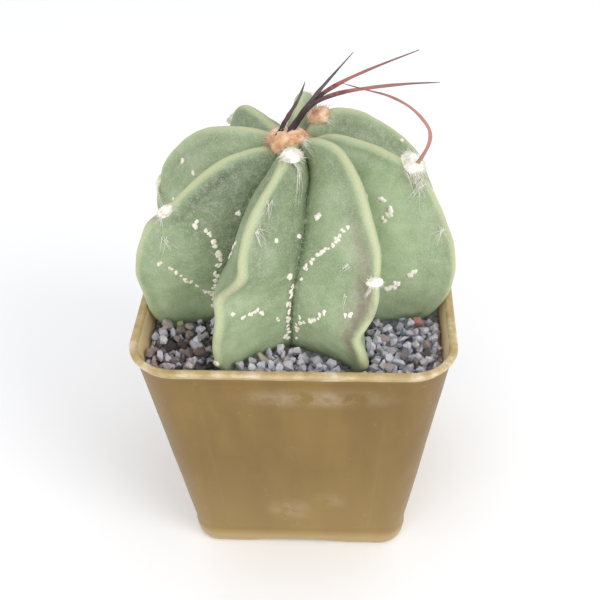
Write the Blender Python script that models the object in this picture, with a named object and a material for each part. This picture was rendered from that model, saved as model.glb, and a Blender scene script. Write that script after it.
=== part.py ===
"""Potted round cactus: an eight-ribbed star cactus in a square plastic nursery pot.

The frame is in metres with +Z up. The origin is the middle of the pot's underside, which rests
on z = 0, and the pot's front face looks along -Y. Tables of heights count from the pot's rim.
"""

import math
import random

import bmesh
import bpy
import numpy as np
from mathutils import Vector

MM = 0.001
GAP = 0.35 * MM

# Pot
POT_WIDTH = 80 * MM
POT_FOOT_WIDTH = 58 * MM
POT_HEIGHT = 75 * MM
RIM_CORNER = 11 * MM
FOOT_CORNER = 6.5 * MM
WALL = 1.3 * MM
FLOOR = 1.6 * MM
FLARE = 1.0 * MM
FOOT_BEAD = 0.5 * MM
CORNER_STEPS = 6
SIDE_STEPS = 4
DRAIN_RADIUS = 3 * MM
DRAIN_OFFSET = 13 * MM
ARCH_WIDTH = 28 * MM
ARCH_RISE = 0.8 * MM

# Fill
SOIL_TOP = POT_HEIGHT - 11 * MM
BED_TOP = POT_HEIGHT - 5.2 * MM
BED_BUMP = 0.45 * MM
STONE_COUNT = 30
STONE_SIZES = (1.3 * MM, 2.3 * MM)
STONE_LIFT = 0.6 * MM
STONE_REACH = 1.35  # how far a stone may reach from its middle, in its own size
STONE_CLEARANCE = 0.7 * MM

# Stem
CREST_HALF = 1.7 * MM
CREST_DEPTH = 1.2 * MM
FACE_SWELL = 0.5 * MM
RING_COUNT = 34
APEX_HEIGHT = 36.3
ROOT_TIP_HEIGHT = -21.0

# Each rib's crest from the crown to the soil line:
# distance from the stem's axis (mm), height above the rim (mm), bearing (degrees from -Y to +X).
RIBS = {
    "front_left": (
        (3, 37.6, 15), (10, 40.6, 0), (18, 40, -6), (25.5, 36, -13), (31, 30.5, -17),
        (35.5, 24, -18.5), (38.7, 15.5, -23.5), (39.3, 5.5, -26.5), (38.6, -4, -27.5),
    ),
    "front_right": (
        (3, 37.8, 25), (9.5, 42, 33), (17, 42.5, 40), (24.3, 38.8, 38.5), (30.3, 33, 36),
        (35.3, 25, 34.5), (38.6, 15.5, 31), (39.3, 5.5, 25), (38, -4, 27),
    ),
    "right": (
        (3, 37.4, 72), (10, 40.3, 72), (18, 39.7, 72), (25.5, 37.6, 72), (31.5, 34.5, 72),
        (37.3, 26.5, 72), (41.2, 15.5, 72), (41.2, 5, 72), (37.2, -3.4, 72),
    ),
    "rear_right": (
        (3, 38, 118), (9, 42.6, 118), (17, 41, 118), (25, 36, 118), (31.5, 29.7, 118),
        (37, 22, 118), (40.6, 12, 118), (40.4, 4, 118), (38, -4, 118),
    ),
    "rear": (
        (3, 37.8, 174), (10, 41.5, 174), (18, 41, 174), (25.5, 37, 174), (31.5, 31, 174),
        (36, 23, 174), (38.6, 13, 174), (37.6, 5, 174), (33.6, -4, 174),
    ),
    "rear_left": (
        (3, 37.2, -152), (11, 35.6, -150), (19, 36, -148), (27, 35, -147), (32.8, 29.5, -147),
        (37, 22, -148), (39.5, 13, -149), (39.6, 4.5, -150), (38, -4, -150),
    ),
    "left_rear": (
        (3, 37.2, -108), (10, 38.2, -108), (18, 37.6, -108), (26, 35.2, -108), (32.8, 29.6, -108),
        (38, 22, -108), (40.4, 12.5, -108), (40, 4, -108), (37.8, -4, -108),
    ),
    "left": (
        (3.2, 35.9, -60), (10, 37.4, -61), (18, 36.8, -61.5), (26, 33.2, -62), (33, 28.6, -62),
        (39.7, 23.5, -62.5), (43.2, 14.5, -63.5), (42.3, 6, -65), (39, -4, -66),
    ),
}
# Distance and height of the bottom of every furrow at the same stations.
FURROW = (
    (3, 36.8), (6.3, 35.6), (10.8, 33.4), (15.2, 29.7), (19, 24.3), (22, 17.5), (24, 10.5),
    (24.8, 3.5), (24.3, -4),
)
# Furrows run midway between their ribs, apart from two (degrees added at each station): the front one
# hooks to the right as it nears the crown, and the left one keeps closer to its left rib lower down.
FURROW_TURNS = {
    "front_left": (25, 24, 5, 1, 0, -3.5, -3.5, -0.5, -2),
    "left": (0, 0, 0, 0, 0, -2, -4, -5.5, -6),
}
# Below the soil line every rib and furrow narrows into the root crown: share of its distance, height.
ROOT_STATIONS = ((0.76, -11), (0.4, -18.5))
# The stem leans a little: its axis at the soil line and at the crown (mm).
AXIS_LOW = (0.3, 1.0, -4)
AXIS_HIGH = (-0.5, 4.9, 38)

# Where a crest strays from its smooth line: rib, station, width in stations, shift to the side of the
# next rib and outwards (mm). A crest dips at an areole and swells below it.
CREST_WAVES = (
    ("front_left", 5.3, 0.35, 1.5, 0), ("front_left", 5.95, 0.28, -1.3, 0.2),
    ("front_left", 7.3, 0.3, -0.5, 0), ("front_right", 6.95, 0.3, -0.9, -0.4),
    ("front_right", 5.9, 0.22, 0, -0.5), ("front_right", 5.0, 0.4, 0.4, 0),
    ("right", 3.8, 0.2, 0, -0.7), ("right", 4.35, 0.3, 0, 0.5), ("left", 4.2, 0.2, 0, -0.8),
    ("left", 4.75, 0.3, 0, 0.6), ("rear_right", 0.9, 0.25, 0, -0.8), ("rear", 3.4, 0.22, 0, -0.7),
    ("rear_left", 4.1, 0.22, 0, -0.7), ("rear_left", 6.2, 0.4, 0.8, 0), ("left_rear", 5.3, 0.22, 0, -0.7),
    ("left_rear", 6.6, 0.4, -0.7, 0), ("rear_right", 5.4, 0.4, 0.7, 0), ("rear", 5.8, 0.4, -0.8, 0),
)

# Areoles, the woolly cushions on the crests: rib, station along it, radius (mm).
AREOLES = (
    ("front_left", 1.4, 2.7), ("front_left", 7.75, 0.8), ("front_right", 5.9, 1.7),
    ("right", 3.85, 2.5), ("rear_right", 0.85, 2.3), ("rear", 3.4, 2.0), ("rear_left", 4.1, 1.9),
    ("left_rear", 5.3, 1.7), ("left", 4.25, 1.9),
)
WOOL_FLATNESS = 0.5
# The wool on the crown: distance, height and bearing of its middle, and its size.
CROWN_WOOL = (1.2, 40.0, -80.0)
CROWN_WOOL_RADIUS = 4.8 * MM
CROWN_WOOL_HALF_HEIGHT = 1.2 * MM

# Spines: points (mm, heights above the rim) from root to tip.
SPINES = {
    "spine_short": ((-2.6, 4.2, 42), (-1.1, 4.5, 44.6), (1, 5.2, 48), (2.7, 6, 52.2)),
    "spine_straight": ((0, 4.4, 42), (1.8, 4.7, 44.6), (5.2, 5.4, 49.1), (8.3, 5.9, 52.8), (14.1, 7, 59.3)),
    "spine_upper": (
        (0.6, 5, 42.3), (4, 5.6, 46.6), (7.1, 6.1, 49.3), (12.4, 6.8, 52.3), (19.8, 7.7, 55.4),
        (29.4, 9, 58.8),
    ),
    "spine_lower": (
        (0.2, 3.7, 42), (2.3, 3.9, 45.2), (5.2, 4.2, 47.8), (10.8, 4.5, 50), (18.5, 5, 51.2),
        (27.1, 5.5, 51.9), (34.4, 6, 52),
    ),
    "spine_hooked": (
        (29.7, -5.9, 37.9), (31.4, -8, 43.1), (31.7, -7.5, 45.9), (30.4, -7.1, 48.6), (27, -6.3, 51.9),
        (22.3, -5.4, 54.2), (16.6, -4.4, 55.4), (11.1, -3.5, 56.6),
    ),
}
SPINE_RADIUS = 0.6 * MM
SPINE_FLATNESS = 0.6
SPINE_TAPER = 0.85
SPINE_SIDES = 6
SPINE_RINGS = 14


def clear_scene():
    for item in list(bpy.data.objects):
        bpy.data.objects.remove(item, do_unlink=True)


def material(name, colour, roughness, metallic=0.0):
    """A plain Principled material of one colour."""
    made = bpy.data.materials.new(name)
    made.use_nodes = True
    shader = made.node_tree.nodes["Principled BSDF"]
    shader.inputs["Base Color"].default_value = (*colour, 1.0)
    shader.inputs["Roughness"].default_value = roughness
    shader.inputs["Metallic"].default_value = metallic
    return made


def add_object(name, vertices, faces, finish, smooth=True):
    """A named object with its own mesh and material."""
    mesh = bpy.data.meshes.new(name)
    mesh.from_pydata([tuple(v) for v in vertices], [], [tuple(f) for f in faces])
    mesh.materials.append(finish)
    mesh.validate()
    if smooth:
        mesh.shade_smooth()
        mesh.set_sharp_from_angle(angle=math.radians(40))
    item = bpy.data.objects.new(name, mesh)
    bpy.context.scene.collection.objects.link(item)
    return item


def add_cutter(name, vertices, faces, target):
    """A hidden closed shape that a Boolean modifier takes away from its target."""
    cutter = add_object(name, vertices, faces, target.data.materials[0], smooth=False)
    cutter.hide_render = True
    cutter.display_type = "WIRE"
    cut = target.modifiers.new(name, "BOOLEAN")
    cut.operation = "DIFFERENCE"
    cut.solver = "EXACT"
    cut.object = cutter
    return cutter


def band_faces(rings, columns, closed=False):
    """Quads between successive rings of points; closed also joins the last ring to the first."""
    faces = []
    for ring in range(rings if closed else rings - 1):
        low = ring * columns
        high = ((ring + 1) % rings) * columns
        for column in range(columns):
            after = (column + 1) % columns
            faces.append((low + column, low + after, high + after, high + column))
    return faces


def rounded_square(half, corner, height):
    """A square of rounded corners, counter-clockwise, with points along its sides too."""
    points = []
    straight = half - corner
    for quarter in range(4):
        turn = quarter * math.pi / 2
        cosine, sine = math.cos(turn), math.sin(turn)
        local = []
        for step in range(SIDE_STEPS):
            local.append((half, -straight + 2 * straight * step / SIDE_STEPS))
        for step in range(CORNER_STEPS):
            angle = step * math.pi / 2 / CORNER_STEPS
            local.append((straight + corner * math.cos(angle), straight + corner * math.sin(angle)))
        for x, y in local:
            points.append((x * cosine - y * sine, x * sine + y * cosine, height))
    return points


RING_SIZE = 4 * (SIDE_STEPS + CORNER_STEPS)


def wall_half(height):
    """Half the pot's outer width on the plain taper, at a height above the ground."""
    top = POT_WIDTH / 2 - FLARE
    return POT_FOOT_WIDTH / 2 + (top - POT_FOOT_WIDTH / 2) * height / POT_HEIGHT


def wall_corner(height):
    return FOOT_CORNER + (RIM_CORNER - FOOT_CORNER) * height / POT_HEIGHT


def inner_ring(height, gap=0.0):
    """The rounded square inside the pot's wall, or of a filling that stands clear of it."""
    inset = WALL + gap
    return rounded_square(wall_half(height) - inset, wall_corner(height) - inset, height)


def pot(finish):
    """The moulded pot: a tapering square shell with a flared lip and a slight foot bead."""
    top = POT_HEIGHT
    profile = (
        (0.0, -0.6 * MM), (0.5 * MM, 0.1 * MM), (1.5 * MM, FOOT_BEAD), (4.5 * MM, FOOT_BEAD),
        (6.5 * MM, 0.0), (top - 3.2 * MM, 0.0), (top - 1.9 * MM, 0.35 * FLARE),
        (top - 0.9 * MM, FLARE), (top - 0.2 * MM, FLARE), (top, FLARE - 0.5 * MM),
        (top, -0.7 * MM), (top - 0.5 * MM, -WALL + 0.2 * MM), (top - 1.6 * MM, -WALL),
        (FLOOR + 1.2 * MM, -WALL), (FLOOR, -WALL - 1.0 * MM),
    )
    vertices = []
    for height, offset in profile:
        corner = max(wall_corner(height) + offset, 2 * MM)
        vertices += rounded_square(wall_half(height) + offset, corner, height)
    faces = band_faces(len(profile), RING_SIZE)
    last = (len(profile) - 1) * RING_SIZE
    faces.append(tuple(reversed(range(RING_SIZE))))
    faces.append(tuple(range(last, last + RING_SIZE)))
    shell = add_object("pot", vertices, faces, finish)
    for number in range(4):
        drain_cutter(number, shell)
        arch_cutter(number, shell)
    return shell


def drain_cutter(number, shell):
    """A round drain hole through the pot's floor, one towards each side."""
    turn = number * math.pi / 2
    centre = (DRAIN_OFFSET * math.cos(turn), DRAIN_OFFSET * math.sin(turn))
    sides = 16
    vertices = []
    for height in (-2 * MM, FLOOR + 2 * MM):
        for step in range(sides):
            angle = 2 * math.pi * (step + 0.5) / sides
            x = centre[0] + DRAIN_RADIUS * math.cos(angle)
            y = centre[1] + DRAIN_RADIUS * math.sin(angle)
            vertices.append((x, y, height))
    faces = band_faces(2, sides)
    faces.append(tuple(reversed(range(sides))))
    faces.append(tuple(range(sides, 2 * sides)))
    add_cutter(f"drain_cutter_{number}", vertices, faces, shell)


def arch_cutter(number, shell):
    """A shallow arched channel under the middle of one bottom edge, from the edge to the drain hole."""
    turn = number * math.pi / 2
    cosine, sine = math.cos(turn), math.sin(turn)
    steps = 8
    section = []
    for step in range(steps + 1):
        across = -1 + 2 * step / steps
        section.append((across * ARCH_WIDTH / 2, ARCH_RISE * (1 - across * across) - 0.02 * MM))
    section.append((ARCH_WIDTH / 2, -2 * MM))
    section.append((-ARCH_WIDTH / 2, -2 * MM))
    vertices = []
    for along in (DRAIN_OFFSET, POT_FOOT_WIDTH):
        for across, height in section:
            x = along * cosine - across * sine
            y = along * sine + across * cosine
            vertices.append((x, y, height))
    count = len(section)
    faces = [tuple(reversed(face)) for face in band_faces(2, count)]
    faces.append(tuple(range(count)))
    faces.append(tuple(reversed(range(count, 2 * count))))
    add_cutter(f"arch_cutter_{number}", vertices, faces, shell)


def spline(knots, at):
    """A smooth curve through the knots, read at stations 0, 1, 2 and so on and between them."""
    knots = np.asarray(knots, float)
    before = 2 * knots[0] - knots[1]
    after = 2 * knots[-1] - knots[-2]
    padded = np.vstack([before, knots, after])
    at = np.asarray(at, float)
    index = np.clip(at.astype(int), 0, len(knots) - 2)
    t = (at - index)[:, None]
    p0, p1, p2, p3 = (padded[index + shift] for shift in range(4))
    bend = (2 * p0 - 5 * p1 + 4 * p2 - p3) * t**2 + (3 * p1 - p0 - 3 * p2 + p3) * t**3
    return 0.5 * (2 * p1 + (p2 - p0) * t + bend)


def place(distance, height, bearing):
    """Points in metres from distances and heights in mm and bearings in degrees round the leaning axis."""
    low, high = np.array(AXIS_LOW), np.array(AXIS_HIGH)
    share = (height - low[2]) / (high[2] - low[2])
    angle = np.radians(bearing)
    x = low[0] + (high[0] - low[0]) * share + distance * np.sin(angle)
    y = low[1] + (high[1] - low[1]) * share - distance * np.cos(angle)
    return np.stack([x, y, height], -1) * MM + np.array([0, 0, POT_HEIGHT])


def with_root(stations):
    """A crest's or furrow's stations, carried on below the soil line into the root crown."""
    distance, _, bearing = stations[-1]
    return list(stations) + [(share * distance, height, bearing) for share, height in ROOT_STATIONS]


def furrow_stations(number):
    """A furrow runs midway between the bearings of the two ribs that meet in it, plus its own turns."""
    ribs = list(RIBS.values())
    turns = FURROW_TURNS.get(list(RIBS)[number], (0,) * len(FURROW))
    left, right = ribs[number], ribs[(number + 1) % len(ribs)]
    stations = []
    for step, (distance, height) in enumerate(FURROW):
        a, b = left[step][2], right[step][2]
        b += 360 if b < a else 0
        stations.append((distance, height, (a + b) / 2 + turns[step]))
    return with_root(stations)


def stem_curves(at):
    """The crests and the furrows as arrays [rib, station, xyz]; furrow i lies between ribs i and i + 1."""
    crests = np.array([place(*spline(with_root(rib), at).T) for rib in RIBS.values()])
    furrows = np.array([place(*spline(furrow_stations(number), at).T) for number in range(len(RIBS))])
    left = np.roll(furrows, 1, axis=0)
    sideways, outwards = crest_shifts(at)
    crests += unit(furrows - left) * sideways + unit(crests - (furrows + left) / 2) * outwards
    return crests, furrows


def unit(vectors):
    return vectors / np.linalg.norm(vectors, axis=-1, keepdims=True)


def crest_shifts(at):
    """How far each crest strays sideways and outwards at each station, as smooth bumps: [rib, station]."""
    sideways = np.zeros((len(RIBS), len(at)))
    outwards = np.zeros_like(sideways)
    for rib, station, width, side, out in CREST_WAVES:
        bump = np.exp(-(((at - station) / width) ** 2)) * MM
        sideways[list(RIBS).index(rib)] += side * bump
        outwards[list(RIBS).index(rib)] += out * bump
    return sideways[..., None], outwards[..., None]


def stem_rings(at):
    """Rings of points [ring, column, xyz]: each rib is a wedge from furrow to furrow with a blunt crest."""
    crests, furrows = stem_curves(at)
    right = furrows
    left = np.roll(furrows, 1, axis=0)
    inward = unit((left + right) / 2 - crests)
    across = unit(right - left)
    half = CREST_HALF * np.clip((at + 0.5) / 1.6, 0, 1) * np.clip((11 - at) / 2.5, 0, 1)
    half = half[None, :, None]
    deep = CREST_DEPTH * half / CREST_HALF
    columns = [left]
    shoulder = crests + inward * deep - across * half
    for share, swell in ((0.35, 0.6), (0.7, 1.0)):
        columns.append(face_point(left, shoulder, inward, -across, share, swell * half / CREST_HALF))
    for side in (-1.0, -0.62, 0.0, 0.62, 1.0):
        columns.append(crests + inward * deep * side**2 + across * half * side)
    shoulder = crests + inward * deep + across * half
    for share, swell in ((0.7, 1.0), (0.35, 0.6)):
        columns.append(face_point(right, shoulder, inward, across, share, swell * half / CREST_HALF))
    ribs = np.stack(columns, axis=2)
    return np.concatenate(list(ribs), axis=1)


def face_point(furrow, shoulder, inward, across, share, swell):
    """A point on a rib's flat side, between furrow and shoulder, slightly swollen outwards."""
    outward = unit(across - inward * 0.35)
    return furrow + (shoulder - furrow) * share + outward * FACE_SWELL * swell


def stem_mesh(first, last, rings, cap_height):
    """Closed star-shaped body between two stations, with a point in the middle of each end."""
    at = np.linspace(first, last, rings)
    grid = stem_rings(at)
    count, columns = grid.shape[:2]
    top = place(np.array(0.0), np.array(float(cap_height)), np.array(0.0))
    tip = place(np.array(0.0), np.array(ROOT_TIP_HEIGHT), np.array(0.0))
    vertices = np.vstack([grid.reshape(-1, 3), top, tip])
    faces = [tuple(reversed(face)) for face in band_faces(count, columns)]
    last_ring = (count - 1) * columns
    for column in range(columns):
        after = (column + 1) % columns
        faces.append((column, after, count * columns))
        faces.append((last_ring + after, last_ring + column, count * columns + 1))
    return vertices, faces


def stem(finish):
    """The whole plant body, grown in one piece: crown, eight ribs and the buried root crown."""
    vertices, faces = stem_mesh(0.0, 10.0, RING_COUNT, APEX_HEIGHT)
    return add_object("cactus_body", vertices, faces, finish)


def clearance_shape():
    """The lower stem moved out along its normals by the gap, for cutting the filling round it."""
    vertices, faces = stem_mesh(6.6, 10.0, 9, 8.0)
    mesh = bpy.data.meshes.new("clearance")
    mesh.from_pydata([tuple(v) for v in vertices], [], faces)
    mesh.update()
    moved = [vertex.co + vertex.normal * 1.4 * GAP for vertex in mesh.vertices]
    bpy.data.meshes.remove(mesh)
    return moved, faces


def bed_height(x, y):
    """Height of the gravel bed: a level layer that rises and falls by half a millimetre."""
    waves = math.sin(320 * x + 1.3) * math.sin(360 * y + 0.4)
    waves += 0.5 * math.sin(420 * x - 260 * y + 2.1)
    return BED_TOP + BED_BUMP * waves


def potting_mix(finish, clearance):
    """The soil that fills the pot from its floor to just under the gravel."""
    heights = (FLOOR + GAP, FLOOR + 1.2 * MM, SOIL_TOP)
    insets = (GAP + 1.1 * MM, GAP, GAP)
    vertices = []
    for height, inset in zip(heights, insets):
        vertices += inner_ring(height, inset)
    faces = band_faces(len(heights), RING_SIZE)
    last = (len(heights) - 1) * RING_SIZE
    faces.append(tuple(reversed(range(RING_SIZE))))
    faces.append(tuple(range(last, last + RING_SIZE)))
    soil = add_object("potting_mix", vertices, faces, finish)
    add_cutter("soil_cutter", *clearance, soil)
    return soil


def gravel_bed(finish, clearance):
    """The packed layer of top dressing, uneven on top, lying on the soil round the stem."""
    shares = (1.0, 0.93, 0.86, 0.79, 0.72, 0.64, 0.55, 0.45)
    vertices = list(inner_ring(SOIL_TOP + GAP, GAP))
    for share in shares:
        for x, y, _ in inner_ring(BED_TOP, GAP):
            vertices.append((x * share, y * share, bed_height(x * share, y * share)))
    faces = band_faces(len(shares) + 1, RING_SIZE)
    last = len(shares) * RING_SIZE
    faces.append(tuple(reversed(range(RING_SIZE))))
    faces.append(tuple(range(last, last + RING_SIZE)))
    bed = add_object("gravel_bed", vertices, faces, finish)
    add_cutter("bed_cutter", *clearance, bed)
    return bed


def stem_outline():
    """The stem's outline near the gravel in plan: crest and furrow points in turn."""
    outlines = []
    for station in (7.2, 7.6, 8.0):
        grid = stem_rings(np.array([station]))[0]
        outlines.append([Vector((x, y)) for x, y, _ in grid])
    return outlines


def clear_of_outline(point, outline, margin):
    """True where a point in plan is outside a closed outline by at least the margin."""
    inside = False
    for start, end in zip(outline, outline[1:] + outline[:1]):
        edge = end - start
        share = max(0.0, min(1.0, (point - start).dot(edge) / edge.length_squared))
        if (point - start - edge * share).length < margin:
            return False
        if (start.y > point.y) != (end.y > point.y):
            crossing = start.x + edge.x * (point.y - start.y) / edge.y
            inside = inside != (crossing > point.x)
    return not inside


def stone_places(pick):
    """Places for loose stones on the gravel: clear of the stem, the pot's wall and each other."""
    outlines = stem_outline()
    places = []
    while len(places) < STONE_COUNT:
        size = pick.uniform(*STONE_SIZES)
        reach = wall_half(BED_TOP) - WALL - STONE_REACH * size - 0.5 * MM
        point = Vector((pick.uniform(-reach, reach), pick.uniform(-reach, reach)))
        corner = reach - wall_corner(BED_TOP) + 4 * MM
        in_corner = min(abs(point.x), abs(point.y)) > corner
        if in_corner and (abs(point.x) + abs(point.y)) > reach + corner:
            continue
        if any((point - other).length < STONE_REACH * (size + taken) for other, taken in places):
            continue
        margin = STONE_REACH * size + STONE_CLEARANCE
        if all(clear_of_outline(point, outline, margin) for outline in outlines):
            places.append((point, size))
    return places


def gravel_stones(finish):
    """Loose crushed stones lying on the bed, each a rough block with a few cut corners."""
    pick = random.Random(11)
    for number, (point, size) in enumerate(stone_places(pick), 1):
        ball = bmesh.new()
        bmesh.ops.create_icosphere(ball, subdivisions=1, radius=size)
        stretch = Vector((pick.uniform(0.85, 1.25), pick.uniform(0.8, 1.1), pick.uniform(0.55, 0.8)))
        turn = pick.uniform(0, 2 * math.pi)
        for vertex in ball.verts:
            rough = pick.uniform(0.86, 1.04)
            x, y, z = (vertex.co[axis] * stretch[axis] * rough for axis in range(3))
            vertex.co = Vector((
                x * math.cos(turn) - y * math.sin(turn) + point.x,
                x * math.sin(turn) + y * math.cos(turn) + point.y,
                z,
            ))
        low = min(vertex.co.z - bed_height(vertex.co.x, vertex.co.y) for vertex in ball.verts)
        vertices = [vertex.co + Vector((0, 0, STONE_LIFT - low)) for vertex in ball.verts]
        faces = [[vertex.index for vertex in face.verts] for face in ball.faces]
        ball.free()
        add_object(f"gravel_stone_{number:02d}", vertices, faces, finish, smooth=False)


def wool_tuft(name, centre, normal, radius, thickness, finish):
    """A cushion of wool: a flattened ball lying across a crest, its axis along the normal."""
    ball = bmesh.new()
    bmesh.ops.create_icosphere(ball, subdivisions=2, radius=1.0)
    turn = Vector((0, 0, 1)).rotation_difference(Vector(normal))
    vertices = []
    for vertex in ball.verts:
        flat = Vector((vertex.co.x * radius, vertex.co.y * radius, vertex.co.z * thickness))
        vertices.append(Vector(centre) + turn @ flat)
    faces = [[vertex.index for vertex in face.verts] for face in ball.faces]
    ball.free()
    return add_object(name, vertices, faces, finish)


def areoles(finish):
    """One woolly cushion for each areole, standing just clear of its crest, and one on the crown."""
    for number, (rib, station, radius) in enumerate(AREOLES, 1):
        ends = np.array([station - 0.1, station, station + 0.1])
        crests, furrows = stem_curves(ends)
        index = list(RIBS).index(rib)
        crest = crests[index]
        middle = (furrows[index][1] + furrows[index - 1][1]) / 2
        along = unit(crest[2] - crest[0])
        outward = crest[1] - middle
        outward = unit(outward - along * np.dot(outward, along))
        thickness = WOOL_FLATNESS * radius * MM
        centre = crest[1] + outward * (thickness + 1.3 * GAP)
        wool_tuft(f"areole_wool_{number}_{rib}", centre, outward, radius * MM, thickness, finish)
    crown = place(*np.array(CROWN_WOOL))
    wool_tuft("crown_wool", crown, (0, 0, 1), CROWN_WOOL_RADIUS, CROWN_WOOL_HALF_HEIGHT, finish)


def spine(name, points, finish):
    """A tapering spine, oval in section, swept along a smooth curve through its points."""
    at = np.linspace(0, len(points) - 1, SPINE_RINGS)
    path = spline(points, at) * MM + np.array([0, 0, POT_HEIGHT])
    along = unit(np.gradient(path, axis=0))
    side = unit(np.cross(along, np.array([0.0, -0.8, 0.6])))
    other = np.cross(side, along)
    share = np.linspace(0, 1, SPINE_RINGS)
    radius = SPINE_RADIUS * (1 - SPINE_TAPER * share**1.6)
    vertices = []
    for ring in range(SPINE_RINGS - 1):
        for step in range(SPINE_SIDES):
            angle = 2 * math.pi * step / SPINE_SIDES
            wide = side[ring] * math.cos(angle) * radius[ring]
            thin = other[ring] * math.sin(angle) * radius[ring] * SPINE_FLATNESS
            vertices.append(path[ring] + wide + thin)
    root, tip = len(vertices), len(vertices) + 1
    vertices += [path[0], path[-1]]
    faces = [tuple(reversed(face)) for face in band_faces(SPINE_RINGS - 1, SPINE_SIDES)]
    last = (SPINE_RINGS - 2) * SPINE_SIDES
    for step in range(SPINE_SIDES):
        after = (step + 1) % SPINE_SIDES
        faces.append((step, after, root))
        faces.append((last + after, last + step, tip))
    return add_object(name, vertices, faces, finish)


def build():
    clear_scene()
    pot(material("mustard_polypropylene", (0.33, 0.21, 0.075), 0.42))
    clearance = clearance_shape()
    potting_mix(material("potting_mix", (0.045, 0.032, 0.024), 0.95), clearance)
    stone = material("crushed_stone", (0.36, 0.34, 0.36), 0.9)
    gravel_bed(stone, clearance)
    gravel_stones(stone)
    stem(material("cactus_skin", (0.27, 0.36, 0.20), 0.7))
    areoles(material("areole_wool", (0.86, 0.80, 0.68), 1.0))
    dry = material("dry_spine", (0.12, 0.05, 0.05), 0.6)
    for name, points in SPINES.items():
        spine(name, points, dry)


build()
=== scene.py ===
import math

import bmesh
import bpy
import numpy as np
from mathutils import Matrix, Vector


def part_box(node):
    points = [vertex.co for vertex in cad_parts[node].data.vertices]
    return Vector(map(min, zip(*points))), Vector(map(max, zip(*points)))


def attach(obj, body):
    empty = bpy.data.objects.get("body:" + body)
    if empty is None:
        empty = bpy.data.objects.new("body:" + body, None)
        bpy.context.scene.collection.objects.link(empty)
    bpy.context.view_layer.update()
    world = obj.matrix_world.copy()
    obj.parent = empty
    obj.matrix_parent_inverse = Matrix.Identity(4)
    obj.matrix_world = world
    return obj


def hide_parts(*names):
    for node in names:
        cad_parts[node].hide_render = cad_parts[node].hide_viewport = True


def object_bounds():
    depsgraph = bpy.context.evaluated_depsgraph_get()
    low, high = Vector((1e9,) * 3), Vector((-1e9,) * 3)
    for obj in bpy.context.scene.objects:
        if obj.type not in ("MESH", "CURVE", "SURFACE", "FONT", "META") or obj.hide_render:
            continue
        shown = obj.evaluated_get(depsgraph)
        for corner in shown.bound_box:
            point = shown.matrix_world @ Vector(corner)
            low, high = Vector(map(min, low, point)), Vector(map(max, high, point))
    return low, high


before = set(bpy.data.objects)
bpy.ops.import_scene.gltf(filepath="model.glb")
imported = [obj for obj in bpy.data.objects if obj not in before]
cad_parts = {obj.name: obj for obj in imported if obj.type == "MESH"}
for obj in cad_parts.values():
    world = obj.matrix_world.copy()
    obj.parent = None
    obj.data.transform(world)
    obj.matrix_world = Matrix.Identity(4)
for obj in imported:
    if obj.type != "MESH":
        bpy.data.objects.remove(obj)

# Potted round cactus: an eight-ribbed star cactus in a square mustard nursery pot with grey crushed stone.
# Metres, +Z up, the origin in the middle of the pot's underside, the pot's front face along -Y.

CAD_LOW, CAD_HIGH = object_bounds()
MM = 0.001

# The pot, as the CAD has it.
POT_WIDTH = 80 * MM
POT_FOOT_WIDTH = 58 * MM
POT_HEIGHT = 75 * MM
RIM_CORNER = 11 * MM
FOOT_CORNER = 6.5 * MM
WALL = 1.3 * MM
FLOOR = 1.6 * MM
FLARE = 1.0 * MM
DRAIN_RADIUS = 3 * MM
DRAIN_OFFSET = 13 * MM
ARCH_WIDTH = 28 * MM
ARCH_RISE = 0.8 * MM
PANEL_SHARE = 0.845
PANEL_TOP = 70.9 * MM
PANEL_CORNER = 4.5 * MM
PANEL_RISE = 0.22 * MM
SOIL_TOP = POT_HEIGHT - 11 * MM
BED_TOP = POT_HEIGHT - 5.2 * MM

# Each rib's crest from the crown to the soil line, at stations 0, 1, 2 and so on:
# distance from the stem's axis (mm), height above the rim (mm), bearing (degrees from -Y to +X).
RIBS = {
    "front_left": (
        (3, 37.6, 15), (10, 40.6, 0), (18, 40, -6), (25.5, 36, -13), (31, 30.5, -17),
        (35.5, 24, -18.5), (38.7, 15.5, -23.5), (39.3, 5.5, -26.5), (38.6, -4, -27.5),
    ),
    "front_right": (
        (3, 37.8, 25), (9.5, 42, 33), (17, 42.5, 40), (24.3, 38.8, 38.5), (30.3, 33, 36),
        (35.3, 25, 34.5), (38.6, 15.5, 31), (39.3, 5.5, 25), (38, -4, 27),
    ),
    "right": (
        (3, 37.4, 72), (10, 40.3, 72), (18, 39.7, 72), (25.5, 37.6, 72), (31.5, 34.5, 72),
        (37.3, 26.5, 72), (41.2, 15.5, 72), (41.2, 5, 72), (37.2, -3.4, 72),
    ),
    "rear_right": (
        (3, 38, 118), (9, 42.6, 118), (17, 41, 118), (25, 36, 118), (31.5, 29.7, 118),
        (37, 22, 118), (40.6, 12, 118), (40.4, 4, 118), (38, -4, 118),
    ),
    "rear": (
        (3, 37.8, 174), (10, 41.5, 174), (18, 41, 174), (25.5, 37, 174), (31.5, 31, 174),
        (36, 23, 174), (38.6, 13, 174), (37.6, 5, 174), (33.6, -4, 174),
    ),
    "rear_left": (
        (3, 37.2, -152), (11, 35.6, -150), (19, 36, -148), (27, 35, -147), (32.8, 29.5, -147),
        (37, 22, -148), (39.5, 13, -149), (39.6, 4.5, -150), (38, -4, -150),
    ),
    "left_rear": (
        (3, 37.2, -108), (10, 38.2, -108), (18, 37.6, -108), (26, 35.2, -108), (32.8, 29.6, -108),
        (38, 22, -108), (40.4, 12.5, -108), (40, 4, -108), (37.8, -4, -108),
    ),
    "left": (
        (3.2, 35.9, -60), (10, 37.4, -61), (18, 36.8, -61.5), (26, 33.2, -62), (33, 28.6, -62),
        (39.7, 23.5, -62.5), (43.2, 14.5, -63.5), (42.3, 6, -65), (39, -4, -66),
    ),
}
RIB_NAMES = list(RIBS)
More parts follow.
